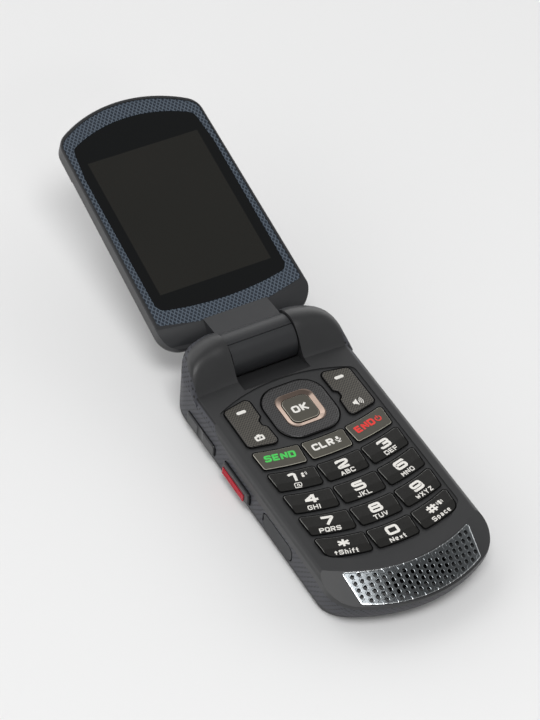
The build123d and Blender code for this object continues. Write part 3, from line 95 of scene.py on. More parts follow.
# %% [markdown]
# The camera stands where the photographer's did, worked out from the phone's own corners. It looks down at
# the keypad from the front left. A long lens keeps the far lid from shrinking much.

# %% Camera
CAMERA_PLACE = Vector((-0.29169, -0.41153, 0.55986))
CAMERA_FORWARD = Vector((0.382526, 0.587636, -0.712992))
CAMERA_DOWN = Vector((-0.310560, -0.645008, -0.698224))
LENS_FOCUS_PX = 2668.4
FRAME_HEIGHT_PX = 720
SENSOR_HEIGHT_MM = 24.0

camera_data = bpy.data.cameras.new("camera")
camera_data.sensor_fit = "VERTICAL"
camera_data.sensor_height = SENSOR_HEIGHT_MM
camera_data.lens = LENS_FOCUS_PX / FRAME_HEIGHT_PX * SENSOR_HEIGHT_MM
camera_data.clip_start = 0.01
camera = bpy.data.objects.new("camera", camera_data)
right = CAMERA_FORWARD.cross(-CAMERA_DOWN)
turn = Matrix((right, -CAMERA_DOWN, -CAMERA_FORWARD)).transposed().to_4x4()
camera.matrix_world = Matrix.Translation(CAMERA_PLACE) @ turn
bpy.context.scene.collection.objects.link(camera)
bpy.context.scene.camera = camera
bpy.context.scene.view_settings.view_transform = "Standard"
print("lens:", round(camera_data.lens, 2), "mm")

# %% [markdown]
# The table is a wide sheet of pale paper inside a light tent. The tent's walls are bright on the left, right
# and back; its roof and its front, where the photographer stands, are dim. So side edges catch light while
# the window and the faces towards the front stay dark. A softbox almost overhead gives the short shadow and
# the shine on the grille, one behind the phone lights the plated trim, and a small one in front draws bright
# lines on the near edges of the keys. Places and sizes are in metres. The floor lies a hair below the phone,
# so that the two never share a plane.

# %% Floor, tent and lamps
FLOOR_HALF = 4.0
FLOOR_DROP = 0.00002
floor_mesh = bpy.data.meshes.new("floor")
floor_corners = [(x * FLOOR_HALF, y * FLOOR_HALF, -FLOOR_DROP)
                 for x, y in ((-1, -1), (1, -1), (1, 1), (-1, 1))]
floor_mesh.from_pydata(floor_corners, [], [(0, 1, 2, 3)])
floor = bpy.data.objects.new("floor", floor_mesh)
bpy.context.scene.collection.objects.link(floor)
paper = new_material("matte_paper", "#EAEAEA", 0.9, Specular_IOR_Level=0.1)
floor_mesh.materials.append(paper)

# Brightness of the tent from the horizon (0) to straight above (1)
TENT_STEPS = (
    (0.02, 2.1),
    (0.35, 1.75),
    (0.6, 0.85),
    (0.73, 0.32),
    (1.0, 0.17),
)
# Share of that brightness, from the front of the tent to its back
TENT_FRONT = {"From Min": -0.75, "From Max": -0.2, "To Min": 0.25, "To Max": 1.0}
tent = bpy.data.worlds.new("tent")
tent.use_nodes = True
bpy.context.scene.world = tent
background = tent.node_tree.nodes["Background"]
direction = add_node(tent, "TexCoord").outputs["Generated"]
heading = add_node(tent, "SeparateXYZ", (direction,)).outputs
falloff = add_node(tent, "ValToRGB", (heading["Z"],))
ramp = falloff.color_ramp
while len(ramp.elements) < len(TENT_STEPS):
    ramp.elements.new(0.5)
for element, (position, level) in zip(ramp.elements, TENT_STEPS):
    element.position = position
    element.color = (level, level, level, 1.0)
link_or_set(tent, background.inputs["Color"], falloff)
link_or_set(tent, background.inputs["Strength"],
            add_node(tent, "MapRange", {"Value": heading["Y"], **TENT_FRONT}))

LAMP_AIM = Vector((0, 0.03, 0))
SOFTBOXES = (
    ("overhead_box", (-0.2, -0.42, 1.3), (0.7, 0.5), 8.2),
    ("back_box", (-0.2, 1.0, 1.2), (1.0, 0.7), 2.6),
    ("front_box", (-0.1, -1.2, 0.8), (0.3, 0.15), 1.0),
)


def softbox(name, place, size, watts):
    data = bpy.data.lights.new(name, "AREA")
    data.shape = "RECTANGLE"
    data.size, data.size_y = size
    data.energy = watts
    lamp = bpy.data.objects.new(name, data)
    lamp.location = place
    lamp.rotation_euler = (LAMP_AIM - Vector(place)).to_track_quat("-Z", "Y").to_euler()
    bpy.context.scene.collection.objects.link(lamp)


for box in SOFTBOXES:
    softbox(*box)
print("tent steps:", len(ramp.elements), "softboxes:", len(SOFTBOXES))

# %% [markdown]
# The housings are moulded ABS with a soft-touch coat. The coat scatters light, so the faces look dark and
# velvety, and only the edges catch a broad dim highlight. A fine grain, finer than a grain of sugar, breaks
# the reflection.

# %% Soft-touch moulded housings
GRAIN_MM = 0.12
GRAIN_HEIGHT_MM = 0.01
COAT_CLOUD_MM = 7.0


def grain_bump(material):
    place = add_node(material, "TexCoord").outputs["Object"]
    grain = add_node(material, "TexNoise", {"Vector": place, "Scale": 1 / (GRAIN_MM * MM), "Detail": 3.0})
    return add_node(material, "Bump", {"Height": grain, "Distance": GRAIN_HEIGHT_MM * MM, "Strength": 0.6})


def cloudy_colour(material, first, second, patch_mm):
    place = add_node(material, "TexCoord").outputs["Object"]
    cloud = add_node(material, "TexNoise", {"Vector": place, "Scale": 1 / (patch_mm * MM), "Detail": 4.0})
    tones = {"Factor": cloud, "A": linear(first), "B": linear(second)}
    return add_node(material, "Mix", tones, data_type="RGBA")


def soft_touch(name, dark, light, roughness):
    material = new_material(name, dark, roughness, IOR=1.46)
    into_shader(
        material,
        Base_Color=cloudy_colour(material, dark, light, COAT_CLOUD_MM),
        Normal=grain_bump(material),
    )
    return material


front_coat = soft_touch("soft_touch_front_shell", "#262728", "#2D2D2E", 0.4)
lid_coat = soft_touch("soft_touch_lid_shell", "#252628", "#2A2B2D", 0.4)
back_coat = soft_touch("moulded_back_cover", "#272829", "#2C2D2E", 0.55)
dress(front_coat, "front_housing")
dress(lid_coat, "lid_inner_housing", "lid_outer_housing")
dress(back_coat, "battery_cover")

# %% [markdown]
# Most patterns on this phone repeat: dots, diamonds, weave and holes. Folding a coordinate back and forth
# gives a saw of one tooth per pitch, so a pattern needs a few maths nodes and no picture. The next cell
# holds the small tools for that: coordinates in millimetres, the direction of the surface, the folded
# coordinate, the distance to a point and a mask between two limits.

# %% Tools for repeating patterns


def mm_axes(material, location=(0, 0, 0), rotation=(0, 0, 0)):
    """The object's own coordinates in millimetres, turned into the frame of the lid or the base."""
    place = add_node(material, "TexCoord").outputs["Object"]
    frame_of = {"Vector": place, "Location": location, "Rotation": rotation, "Scale": (MM, MM, MM)}
    turned = add_node(material, "Mapping", frame_of, vector_type="TEXTURE")
    return add_node(material, "SeparateXYZ", (turned,)).outputs


def surface_normal(material):
    smooth = add_node(material, "TexCoord").outputs["Normal"]
    return add_node(material, "SeparateXYZ", (smooth,)).outputs


def saw(material, axis, pitch, shift=0.0):
    """0 at every whole pitch and half a pitch in the middle between two."""
    along = add_node(material, "Math", (axis, shift + 1000 * pitch), operation="ADD")
    return add_node(material, "Math", (along, pitch / 2), operation="PINGPONG")


def distance(material, first, second):
    """How far a point is from the place where both coordinates are 0."""
    squares = [add_node(material, "Math", (side, side), operation="MULTIPLY") for side in (first, second)]
    total = add_node(material, "Math", squares, operation="ADD")
    return add_node(material, "Math", (total,), operation="SQRT")


def inside(material, axis, low, high, blur):
    """1 between the two limits and 0 outside them."""
    above = add_node(material, "MapRange", (axis, low - blur, low + blur))
    below = add_node(material, "MapRange", (axis, high + blur, high - blur))
    return add_node(material, "Math", (above, below), operation="MULTIPLY")


print("materials before the patterns:", len(bpy.data.materials))

# %% [markdown]
# The side band is moulded in a slightly lighter, bluish grey plastic. The mould tool left slanting rows of
# tiny dimples for grip. They are about 0.35 mm wide on the real band and are drawn at 0.5 mm, so that they
# stay visible: the folded coordinates along and across the band meet at the middle of each dimple. Each
# dimple is dented by a bump and painted near black as shade in its hollow.

# %% Side band with rows of dimples
DIMPLE_PITCH_MM = 0.95
DIMPLE_ROW_MM = 1.35
DIMPLE_R_MM = 0.26
# Sums and differences of two coordinates run this much faster than the slanting distance itself
SLANT = 1.414

band = new_material("dimpled_side_band", "#34363A", 0.5, IOR=1.46)
along_x, along_y, up = mm_axes(band)
facing_x = add_node(band, "Math", (surface_normal(band)["X"],), operation="ABSOLUTE")
side_on = add_node(band, "Math", (facing_x, 0.7), operation="GREATER_THAN")
run = add_node(band, "Mix", {"Factor": side_on, "A": along_x, "B": along_y})
slant = add_node(band, "Math", (run, up), operation="ADD")
climb = add_node(band, "Math", (up, run), operation="SUBTRACT")
across = saw(band, slant, DIMPLE_ROW_MM * SLANT)
down_row = saw(band, climb, DIMPLE_PITCH_MM * SLANT)
dimple_edge = (DIMPLE_R_MM * 0.8 * SLANT, DIMPLE_R_MM * 1.3 * SLANT)
dimple = add_node(band, "MapRange", (distance(band, across, down_row), *dimple_edge))
plastic = cloudy_colour(band, "#33343A", "#3B3C42", 6.0)
dimple_relief = {"Height": dimple, "Distance": 0.1 * MM, "Strength": 0.6, "Normal": grain_bump(band)}
# The dimples are painted near black as shade in their hollows.
into_shader(
    band,
    Base_Color=add_node(band, "Mix", {"Factor": dimple, "A": linear("#08080A"), "B": plastic}, data_type="RGBA"),
    Normal=add_node(band, "Bump", dimple_relief),
)
dress(band, "rear_housing")

# %% [markdown]
# The keypad has two finishes. The number keys are clear polycarbonate caps painted black from below, which
# gives a deep gloss. The function keys are painted a warm olive grey with a satin lacquer. The edge of every
# cap is rounded by 0.2 mm and painted lighter as a highlight, a thin light line: a mask on the slope of
# the surface picks it out. The walls of the caps are painted black as shade in the gap.

# %% Number keys and function keys
TOP_SLOPE = (0.86, 0.93)
SHADED_WALL_SLOPE = (0.5, 0.3)
DUST_PER_METRE = 900.0


def key_cap(name, face, second, rim_highlight, smooth, worn):
    material = new_material(name, face, smooth, IOR=1.58)
    slope = surface_normal(material)["Z"]
    on_top = add_node(material, "MapRange", (slope, *TOP_SLOPE))
    on_shaded_wall = add_node(material, "MapRange", (slope, *SHADED_WALL_SLOPE))
    # The rim colour is a painted highlight on the rounded edge; the near black on the walls is painted shade.
    highlight_and_shade_tones = {"Factor": on_shaded_wall, "A": linear(rim_highlight), "B": linear("#0A0A0A")}
    edge = add_node(material, "Mix", highlight_and_shade_tones, data_type="RGBA")
    painted = cloudy_colour(material, face, second, 3.0)
    place = add_node(material, "TexCoord").outputs["Object"]
    dust = add_node(material, "TexNoise", {"Vector": place, "Scale": DUST_PER_METRE})
    into_shader(
        material,
        Base_Color=add_node(material, "Mix", {"Factor": on_top, "A": edge, "B": painted}, data_type="RGBA"),
        Roughness=add_node(material, "Math", (dust, worn - smooth, smooth), operation="MULTIPLY_ADD"),
    )
    return material


gloss_cap = key_cap("gloss_polycarbonate_number_key", "#11110F", "#191816", "#6E6E6A", 0.16, 0.26)
olive_cap = key_cap("satin_lacquer_function_key", "#3F3C33", "#464339", "#B9B6A8", 0.32, 0.4)
dress(gloss_cap, *("key_" + name for name in "0 1 2 3 4 5 6 7 8 9 star hash".split()))
dress(olive_cap, "key_send", "key_clear", "key_end", "ok_key")

# %% [markdown]
# The two soft keys and the top of the navigation ring are moulded with a fine weave like woven fibre. The
# real pitch is near 0.5 mm, too fine for this picture, so it is drawn at 0.66 mm. Two folded coordinates,
# turned by 45 degrees, cross to give the little cells. The sides of the ring stay polished, which a mask on
# the direction of the surface keeps apart.

# %% Weave on the soft keys and the navigation ring
WEAVE_MM = 0.66
POLISHED_ROUGHNESS = 0.14


def woven(name, thread, gap, polished, roughness):
    material = new_material(name, thread, roughness, IOR=1.5)
    x, y, _ = mm_axes(material, rotation=(0, 0, pi / 4))
    folds = (saw(material, x, WEAVE_MM), saw(material, y, WEAVE_MM))
    cell = add_node(material, "Math", folds, operation="ADD")
    lit = add_node(material, "MapRange", (cell, 0.3 * WEAVE_MM, 0.6 * WEAVE_MM))
    flat = add_node(material, "MapRange", (surface_normal(material)["Z"], 0.93, 0.985))
    weave_tones = {"Factor": lit, "A": linear(gap), "B": linear(thread)}
    threads = add_node(material, "Mix", weave_tones, data_type="RGBA")
    ring_tones = {"Factor": flat, "A": linear(polished), "B": threads}
    raised = add_node(material, "Math", (lit, flat), operation="MULTIPLY")
    rougher = (flat, roughness - POLISHED_ROUGHNESS, POLISHED_ROUGHNESS)
    into_shader(
        material,
        Base_Color=add_node(material, "Mix", ring_tones, data_type="RGBA"),
        Roughness=add_node(material, "Math", rougher, operation="MULTIPLY_ADD"),
        Normal=add_node(material, "Bump", {"Height": raised, "Distance": 0.06 * MM, "Strength": 0.7}),
    )
    return material


soft_weave = woven("woven_pattern_soft_key", "#4C4840", "#070706", "#1D1C1A", 0.42)
ring_weave = woven("woven_pattern_nav_ring", "#3A3939", "#060607", "#0E0E0F", 0.4)
dress(soft_weave, "soft_key_left", "soft_key_right")
dress(ring_weave, "nav_ring")

# %% [markdown]
# The trim inside the ring is vacuum-plated plastic with a warm bronze tint, and the speaker grille is plated
# darker. Plating is a metal to the eye, so both are metallic, with slow changes of roughness where fingers
# have rubbed. Each grille hole has a countersunk edge, drawn as a dip in the bump round the hole. The outer
# edge is bevelled: a mask on the distance to the outline tilts it and paints it lighter as a highlight.

# %% Plated trim and grille
HOLE_PITCH_MM = 2.0
HOLE_ROW_MM = 0.8
HOLE_R_MM = 0.58
COUNTERSINK_R_MM = 0.7
CHIN_CENTRE_Y_MM = -11.2
FIRST_HOLE_R_MM = 40.3
GRILLE_LOW_R_MM = 41.4
GRILLE_TOP_CENTRE_Y_MM = 2.0
GRILLE_TOP_R_MM = 45.2
GRILLE_SIDE_MM = 24.94
GRILLE_SIDE_SLOPE = 0.1257
BEVEL_MM = (0.05, 0.3)


def plated(name, light, dark, smooth, rubbed, patch_mm):
    material = new_material(name, light, smooth, Metallic=1.0)
    place = add_node(material, "TexCoord").outputs["Object"]
    smudge = add_node(material, "TexNoise", {"Vector": place, "Scale": 1 / (patch_mm * MM), "Detail": 5.0})
    tones = {"Factor": smudge, "A": linear(light), "B": linear(dark)}
    into_shader(
        material,
        Base_Color=add_node(material, "Mix", tones, data_type="RGBA"),
        Roughness=add_node(material, "Math", (smudge, rubbed - smooth, smooth), operation="MULTIPLY_ADD"),
    )
    return material


bronze = plated("bronze_plated_trim", "#B5A195", "#A18E82", 0.14, 0.22, 4.0)
dark_plate = plated("dark_plated_grille", "#7F8385", "#6C7073", 0.17, 0.22, 14.0)
plate_colour = dark_plate.node_tree.nodes["Principled BSDF"].inputs["Base Color"].links[0].from_socket
x, y, _ = mm_axes(dark_plate)


def from_centre(centre_y):
    """Distance to a point on the phone's middle line."""
    return distance(dark_plate, x, add_node(dark_plate, "Math", (y, centre_y), operation="SUBTRACT"))


radius = from_centre(CHIN_CENTRE_Y_MM)


def hole_distance(shift_x, shift_r):
    return distance(dark_plate, saw(dark_plate, x, 2 * HOLE_PITCH_MM, shift_x),
                    saw(dark_plate, radius, 2 * HOLE_ROW_MM, shift_r - FIRST_HOLE_R_MM))


both_rows = (hole_distance(0.0, 0.0), hole_distance(HOLE_PITCH_MM, HOLE_ROW_MM))
nearest = add_node(dark_plate, "Math", both_rows, operation="MINIMUM")
from_low = add_node(dark_plate, "Math", (GRILLE_LOW_R_MM, radius), operation="SUBTRACT")
top_arc = (from_centre(GRILLE_TOP_CENTRE_Y_MM), GRILLE_TOP_R_MM)
from_top = add_node(dark_plate, "Math", top_arc, operation="SUBTRACT")
side_x = add_node(dark_plate, "Math", (y, GRILLE_SIDE_SLOPE, GRILLE_SIDE_MM), operation="MULTIPLY_ADD")
off_middle = add_node(dark_plate, "Math", (x,), operation="ABSOLUTE")
from_side = add_node(dark_plate, "Math", (side_x, off_middle), operation="SUBTRACT")
from_arcs = add_node(dark_plate, "Math", (from_low, from_top), operation="MINIMUM")
from_edge = add_node(dark_plate, "Math", (from_arcs, from_side), operation="MINIMUM")
bevel = add_node(dark_plate, "MapRange", (from_edge, *BEVEL_MM))
past_hole = add_node(dark_plate, "MapRange", (nearest, HOLE_R_MM, COUNTERSINK_R_MM))
relief = add_node(dark_plate, "Math", (past_hole, bevel), operation="ADD")
# Near the outline the plate colour gives way to a painted highlight.
edge_highlight_tones = {"Factor": bevel, "A": linear("#D5D8DA"), "B": plate_colour}
into_shader(
    dark_plate,
    Base_Color=add_node(dark_plate, "Mix", edge_highlight_tones, data_type="RGBA"),
    Normal=add_node(dark_plate, "Bump", {"Height": relief, "Distance": 0.05 * MM, "Strength": 0.6}),
)
dress(bronze, "nav_trim")
dress(dark_plate, "speaker_grille")

# %% [markdown]
# The panel round the screen carries a lattice of dark diamonds between lighter lines, moulded under a satin
# coat. The lid leans up 15 degrees, so the coordinates are first turned into the lid's own frame. Adding
# and subtracting them gives two families of slanting lines.

# %% Screen surround with a diamond lattice
LID_AXIS = (0.0, 0.045, 0.0142)
LID_TILT = (radians(15), 0.0, 0.0)
DIAMOND_MM = 1.13
LATTICE_STEEPNESS = 1.35
LATTICE_PITCH_MM = DIAMOND_MM * 1.6
LINE_EDGE_MM = (0.12, 0.3)

lattice = new_material("satin_lattice_surround", "#2F3A47", 0.34, IOR=1.5)
x, d, _ = mm_axes(lattice, LID_AXIS, LID_TILT)
steep_x = add_node(lattice, "Math", (x, LATTICE_STEEPNESS), operation="MULTIPLY")
families = []
for lean in ("ADD", "SUBTRACT"):
    leaning = add_node(lattice, "Math", (steep_x, d), operation=lean)
    families.append(saw(lattice, leaning, LATTICE_PITCH_MM))
line = add_node(lattice, "Math", families, operation="MINIMUM")
diamond = add_node(lattice, "MapRange", (line, *LINE_EDGE_MM))
line_colour = cloudy_colour(lattice, "#4D5864", "#58636F", 9.0)
lattice_tones = {"Factor": diamond, "A": line_colour, "B": linear("#232B35")}
lattice_relief = {"Height": diamond, "Distance": 0.05 * MM, "Strength": 0.5}
into_shader(
    lattice,
    Base_Color=add_node(lattice, "Mix", lattice_tones, data_type="RGBA"),
    Roughness=add_node(lattice, "Math", (diamond, -0.08, 0.36), operation="MULTIPLY_ADD"),
    Normal=add_node(lattice, "Bump", lattice_relief, invert=True),
)
dress(lattice, "bezel_panel")

# %% [markdown]
# The window is clear acrylic, 0.75 mm thick, printed black on its back except over the display, which is
# off. Light that goes in is mostly swallowed, so one dark glossy surface stands for the whole stack. The
# display area is a touch lighter and warmer than the printed border, as liquid crystal glass is.

# %% Screen window
SCREEN_HALF_MM = 18.36
SCREEN_NEAR_MM = 25.2
SCREEN_FAR_MM = 74.16
SCREEN_BLUR_MM = 0.06
WIPES_PER_METRE = 60.0

acrylic = new_material("black_backed_acrylic_window", "#101214", 0.05, IOR=1.49)
x, d, _ = mm_axes(acrylic, LID_AXIS, LID_TILT)
across_and_along = (
    inside(acrylic, x, -SCREEN_HALF_MM, SCREEN_HALF_MM, SCREEN_BLUR_MM),
    inside(acrylic, d, SCREEN_NEAR_MM, SCREEN_FAR_MM, SCREEN_BLUR_MM),
)
screen = add_node(acrylic, "Math", across_and_along, operation="MULTIPLY")
crystal = cloudy_colour(acrylic, "#1D1D1A", "#21201D", 30.0)
window_tones = {"Factor": screen, "A": linear("#060809"), "B": crystal}
place = add_node(acrylic, "TexCoord").outputs["Object"]
wiped = add_node(acrylic, "TexNoise", {"Vector": place, "Scale": WIPES_PER_METRE, "Detail": 6.0})
into_shader(
    acrylic,
    Base_Color=add_node(acrylic, "Mix", window_tones, data_type="RGBA"),
    Roughness=add_node(acrylic, "Math", (wiped, 0.05, 0.03), operation="MULTIPLY_ADD"),
)
dress(acrylic, "display_window", "outer_window")

# %% [markdown]
# The side keys are moulded in gloss black plastic, the covers in rubbery elastomer with fine blasted grain,
# and the ribbed grip in the talk key is a bright red elastomer. The ribs are in the solid; the grooves
# between them are painted darker as shade.

# %% Side keys, rubber covers and the red grip
RIB_PITCH_MM = 0.6
GROOVE_Y_MM = 8.95
GROOVE_EDGE_MM = (0.08, 0.2)
side_gloss = soft_touch("gloss_black_side_key", "#1B1C1E", "#202123", 0.28)
elastomer = soft_touch("blasted_elastomer_cover", "#2B2C2E", "#313234", 0.6)
red_grip = soft_touch("red_elastomer_grip", "#C81F34", "#D22A3E", 0.45)
unshaded_red = red_grip.node_tree.nodes["Principled BSDF"].inputs["Base Color"].links[0].from_socket
from_groove = saw(red_grip, mm_axes(red_grip)["Y"], RIB_PITCH_MM, -GROOVE_Y_MM)
rib = add_node(red_grip, "MapRange", (from_groove, *GROOVE_EDGE_MM))
# The grooves between the ribs are painted dark red as shade.
groove_shade_tones = {"Factor": rib, "A": linear("#6E0F1C"), "B": unshaded_red}
into_shader(
    red_grip,
    Base_Color=add_node(red_grip, "Mix", groove_shade_tones, data_type="RGBA"),
    Subsurface_Weight=0.05,
    Subsurface_Scale=0.5 * MM,
)
dress(side_gloss, "volume_key", "talk_key")
dress(elastomer, "port_cover", "headset_cover", "keypad_mat")
dress(red_grip, "talk_insert")

# %% [markdown]
# The inner parts show only through gaps, with a cover open or on the bench, yet each gets its real finish:
# solder-masked glass-fibre boards, polyimide flex, turned and stamped steel, and a printed cell wrap.

# %% Inner parts
steel = plated("turned_stainless_steel", "#B9BBBD", "#A3A5A8", 0.22, 0.34, 1.5)
magnet_plate = plated("nickel_plated_magnet", "#C9C6BE", "#B5B2AA", 0.2, 0.3, 1.5)
mask_green = soft_touch("solder_masked_board", "#16472F", "#1B5238", 0.35)
polyimide = soft_touch("polyimide_flex", "#8A4A1C", "#99561F", 0.3)
cell_wrap = soft_touch("printed_cell_wrap", "#3A4652", "#414E5B", 0.4)
black_moulding = soft_touch("black_acetal_moulding", "#19191A", "#1F1F20", 0.45)
lens_glass = soft_touch("coated_lens_glass", "#0C0F16", "#141A26", 0.06)
diffuser = soft_touch("frosted_flash_lens", "#C9C9BE", "#D6D6CB", 0.3)
dress(steel, "base_screws", "lid_screws", "hinge_shaft", "hinge_cartridge", "usb_socket", "vibration_motor",
      "vibration_weight")
dress(magnet_plate, "lid_magnet")
dress(mask_green, "main_board", "lid_board", "side_key_board")
dress(polyimide, "hinge_flex")
dress(cell_wrap, "battery")
dress(black_moulding, "headset_jack", "pivot_bush", "speaker", "microphone", "earpiece", "nav_pad",
      "display_module", "outer_display", "camera_module", "battery_latch")
dress(lens_glass, "camera_lens")
dress(diffuser, "flash_lens")
print("materials so far:", len(bpy.data.materials), "for", len(nodes), "nodes")

# %% [markdown]
# The legends are pad-printed. Their squarish letters are strokes of one width with rounded corners, so each
# glyph is a short list of paths on a unit square, and each path becomes a flat ribbon. A font would give
# the wrong letter shapes and many more faces.

# %% Glyphs as paths on a unit square
GLYPHS = {
    "0": ["0,0 0,1 1,1 1,0 0,0"],
    "1": ["0.1,0.86 0.35,1 0.7,1 0.7,-0.13"],
    "2": ["0,0.74 0,1 1,1 1,0.6 0,0.16 0,0 1,0"],
    "3": ["0,0.78 0,1 1,1 1,0.52 0.35,0.52", "0.35,0.52 1,0.52 1,0 0,0 0,0.22"],
    "4": ["0.74,-0.13 0.74,1.1", "0.72,1 0,0.34", "-0.1,0.3 1.12,0.3"],
    "5": ["1,1 0,1 0,0.58 1,0.58 1,0 0,0 0,0.2"],
    "6": ["1,0.8 1,1 0,1 0,0 1,0 1,0.56 0,0.56"],
    "7": ["0,1 1,1 1,0.86 0.42,-0.1"],
    "8": ["0.04,0.53 0.04,1 0.96,1 0.96,0.53 0.04,0.53", "0,0.53 0,0 1,0 1,0.53 0,0.53"],
    "9": ["0,0.2 0,0 1,0 1,1 0,1 0,0.44 1,0.44"],
    "A": ["-0.03,-0.15 0.5,1 1.03,-0.15", "0.2,0.26 0.8,0.26"],
    "B": ["0,-0.15 0,1.15", "0,1 0.94,1 0.94,0.53 0,0.53", "0,0.53 1,0.53 1,0 0,0"],
    "C": ["1,0.74 1,1 0,1 0,0 1,0 1,0.26"],
    "D": ["0,-0.15 0,1.15", "0,1 1,1 1,0 0,0"],
    "E": ["0,-0.15 0,1.15", "0,1 1.06,1", "0,0.5 0.95,0.5", "0,0 1.06,0"],
    "F": ["0,-0.15 0,1.15", "0,1 1.06,1", "0,0.46 0.95,0.46"],
    "G": ["1,0.76 1,1 0,1 0,0 1,0 1,0.5 0.55,0.5"],
    "H": ["0,-0.15 0,1.15", "1,-0.15 1,1.15", "0,0.5 1,0.5"],
    "I": ["0.5,-0.15 0.5,1.15"],
    "J": ["0.9,1.15 0.9,0 0,0 0,0.3"],
    "K": ["0,-0.15 0,1.15", "1,1.12 0.15,0.5 1,-0.12"],
    "L": ["0,-0.15 0,1.15", "0,0 1.06,0"],
    "M": ["0,-0.15 0,1 0.5,0.25 1,1 1,-0.15"],
    "N": ["0,-0.15 0,1 1,0 1,1.15"],
    "O": ["0,0 0,1 1,1 1,0 0,0"],
    "P": ["0,-0.15 0,1.15", "0,1 1,1 1,0.44 0,0.44"],
    "Q": ["0,0 0,1 1,1 1,0 0,0", "0.6,0.3 1.1,-0.1"],
    "R": ["0,-0.15 0,1.15", "0,1 1,1 1,0.46 0,0.46", "0.45,0.46 1,-0.12"],
    "S": ["1,0.78 1,1 0,1 0,0.53 1,0.53 1,0 0,0 0,0.22"],
    "T": ["-0.1,1 1.1,1", "0.5,1 0.5,-0.15"],
    "U": ["0,1.15 0,0 1,0 1,1.15"],
    "V": ["0,1.12 0.5,0 1,1.12"],
    "W": ["0,1 0.22,0 0.5,0.75 0.78,0 1,1"],
    "X": ["0,-0.1 1,1.1", "0,1.1 1,-0.1"],
    "Y": ["0,1.1 0.5,0.5 1,1.1", "0.5,0.5 0.5,-0.15"],
    "Z": ["0,1 1,1 0,0 1,0"],
    "a": ["0.1,0.7 0.9,0.7 0.9,0 0.1,0 0.1,0.36 0.9,0.36"],
    "c": ["0.9,0.5 0.9,0.7 0.1,0.7 0.1,0 0.9,0 0.9,0.2"],
    "e": ["0.1,0.36 0.9,0.36 0.9,0.7 0.1,0.7 0.1,0 0.9,0"],
    "f": ["1.1,1 0.4,1 0.4,-0.15", "-0.3,0.64 1.1,0.64"],
    "h": ["0.1,-0.15 0.1,1.15", "0.1,0.7 0.9,0.7 0.9,-0.15"],
    "i": ["0.5,-0.15 0.5,0.72", "0.5,0.95 0.5,1.2"],
    "p": ["0.1,-0.3 0.1,0.7 0.9,0.7 0.9,0 0.1,0"],
    "t": ["0.4,1.15 0.4,0 1.1,0", "-0.3,0.64 1.1,0.64"],
    "x": ["0.1,0 0.9,0.7", "0.1,0.7 0.9,0"],
    "*": ["0.5,0 0.5,1", "0.07,0.25 0.93,0.75", "0.07,0.75 0.93,0.25"],
    "#": ["0.3,0 0.3,1", "0.7,0 0.7,1", "0,0.3 1,0.3", "0,0.7 1,0.7"],
    "@": ["0.66,0.3 0.34,0.3 0.34,0.7 0.66,0.7 0.66,0.28 1,0.28 1,1 0,1 0,0 0.9,0"],
    "^": ["0.5,0 0.5,0.8", "0.1,0.5 0.5,1 0.9,0.5"],
}
NARROW = {"I": 0.4, "i": 0.32, "f": 0.62, "t": 0.62, "^": 0.8, **{letter: 0.8 for letter in "aceehpx"}}
print("glyphs:", len(GLYPHS))

# %% [markdown]
# A path becomes a ribbon in three steps. Its corners are rounded, it is cut into short runs, and each point
# gets a neighbour on both sides at half the stroke's width. The short runs let the print follow the bend in
# a key's face: every point is dropped onto the real surface with a ray, and lifted by 0.03 mm of paint.

# %% Ribbons of paint that follow a surface
from mathutils.bvhtree import BVHTree

PAINT_MM = 0.03
RUN_MM = 0.3
ARC_STEPS = 5


def rounded(points, radius):
    closed = (points[0] - points[-1]).length < 1e-6
    corners = points[:-1] if closed else points
    path = []
    for k, corner in enumerate(corners):
        if not closed and k in (0, len(corners) - 1):
            path.append(corner)
            continue
        before, after = corners[k - 1], corners[(k + 1) % len(corners)]
        back, ahead = before - corner, after - corner
        reach = min(radius, back.length / 2, ahead.length / 2)
        start, end = corner + back.normalized() * reach, corner + ahead.normalized() * reach
        for step in range(ARC_STEPS + 1):
            t = step / ARC_STEPS
            path.append(start * (1 - t) ** 2 + corner * 2 * t * (1 - t) + end * t ** 2)
    return path + path[:1] if closed else path


def cut_short(path):
    runs = [path[0]]
    for start, end in zip(path, path[1:]):
        count = max(1, round((end - start).length / RUN_MM))
        if (end - start).length > 1e-4:
            runs += [start.lerp(end, step / count) for step in range(1, count + 1)]
    return runs


def ribbon(path, width, shift=0.0):
    """Rows of three points across the path, and the faces between the rows."""
    closed = (path[0] - path[-1]).length < 1e-6
    rows, faces = [], []
    for k, point in enumerate(path):
        before = path[k - 1] if k else (path[-2] if closed else point)
        after = path[k + 1] if k + 1 < len(path) else (path[1] if closed else point)
        arriving, leaving = point - before, after - point
        first = arriving.normalized() if arriving.length > 1e-6 else leaving.normalized()
        second = leaving.normalized() if leaving.length > 1e-6 else first
        middle = (first + second).normalized()
        side = Vector((-middle.y, middle.x)) / max(0.5, middle.dot(second))
        rows += [point + side * (shift + across * width / 2) for across in (-1, 0, 1)]
    for k in range(len(path) - 1):
        a = 3 * k
        faces += [(a, a + 3, a + 4, a + 1), (a + 1, a + 4, a + 5, a + 2)]
    return rows, faces


def glyph_paths(text, height, width, gap, stroke, corner):
    """Centre lines of a word, centred on its own middle; height and width are over the stroke."""
    widths = [NARROW.get(letter, 1.0) * width for letter in text]
    left = stroke / 2 - (sum(widths) + gap * (len(text) - 1)) / 2
    paths = []
    for letter, letter_w in zip(text, widths):
        for line in GLYPHS[letter]:
            points = [Vector(tuple(float(v) for v in pair.split(","))) for pair in line.split()]
            reach_x, reach_y = letter_w - stroke, height - stroke
            points = [Vector((left + p.x * reach_x, (p.y - 0.5) * reach_y)) for p in points]
            paths.append((cut_short(rounded(points, corner)), stroke))
        left += letter_w + gap
    return paths


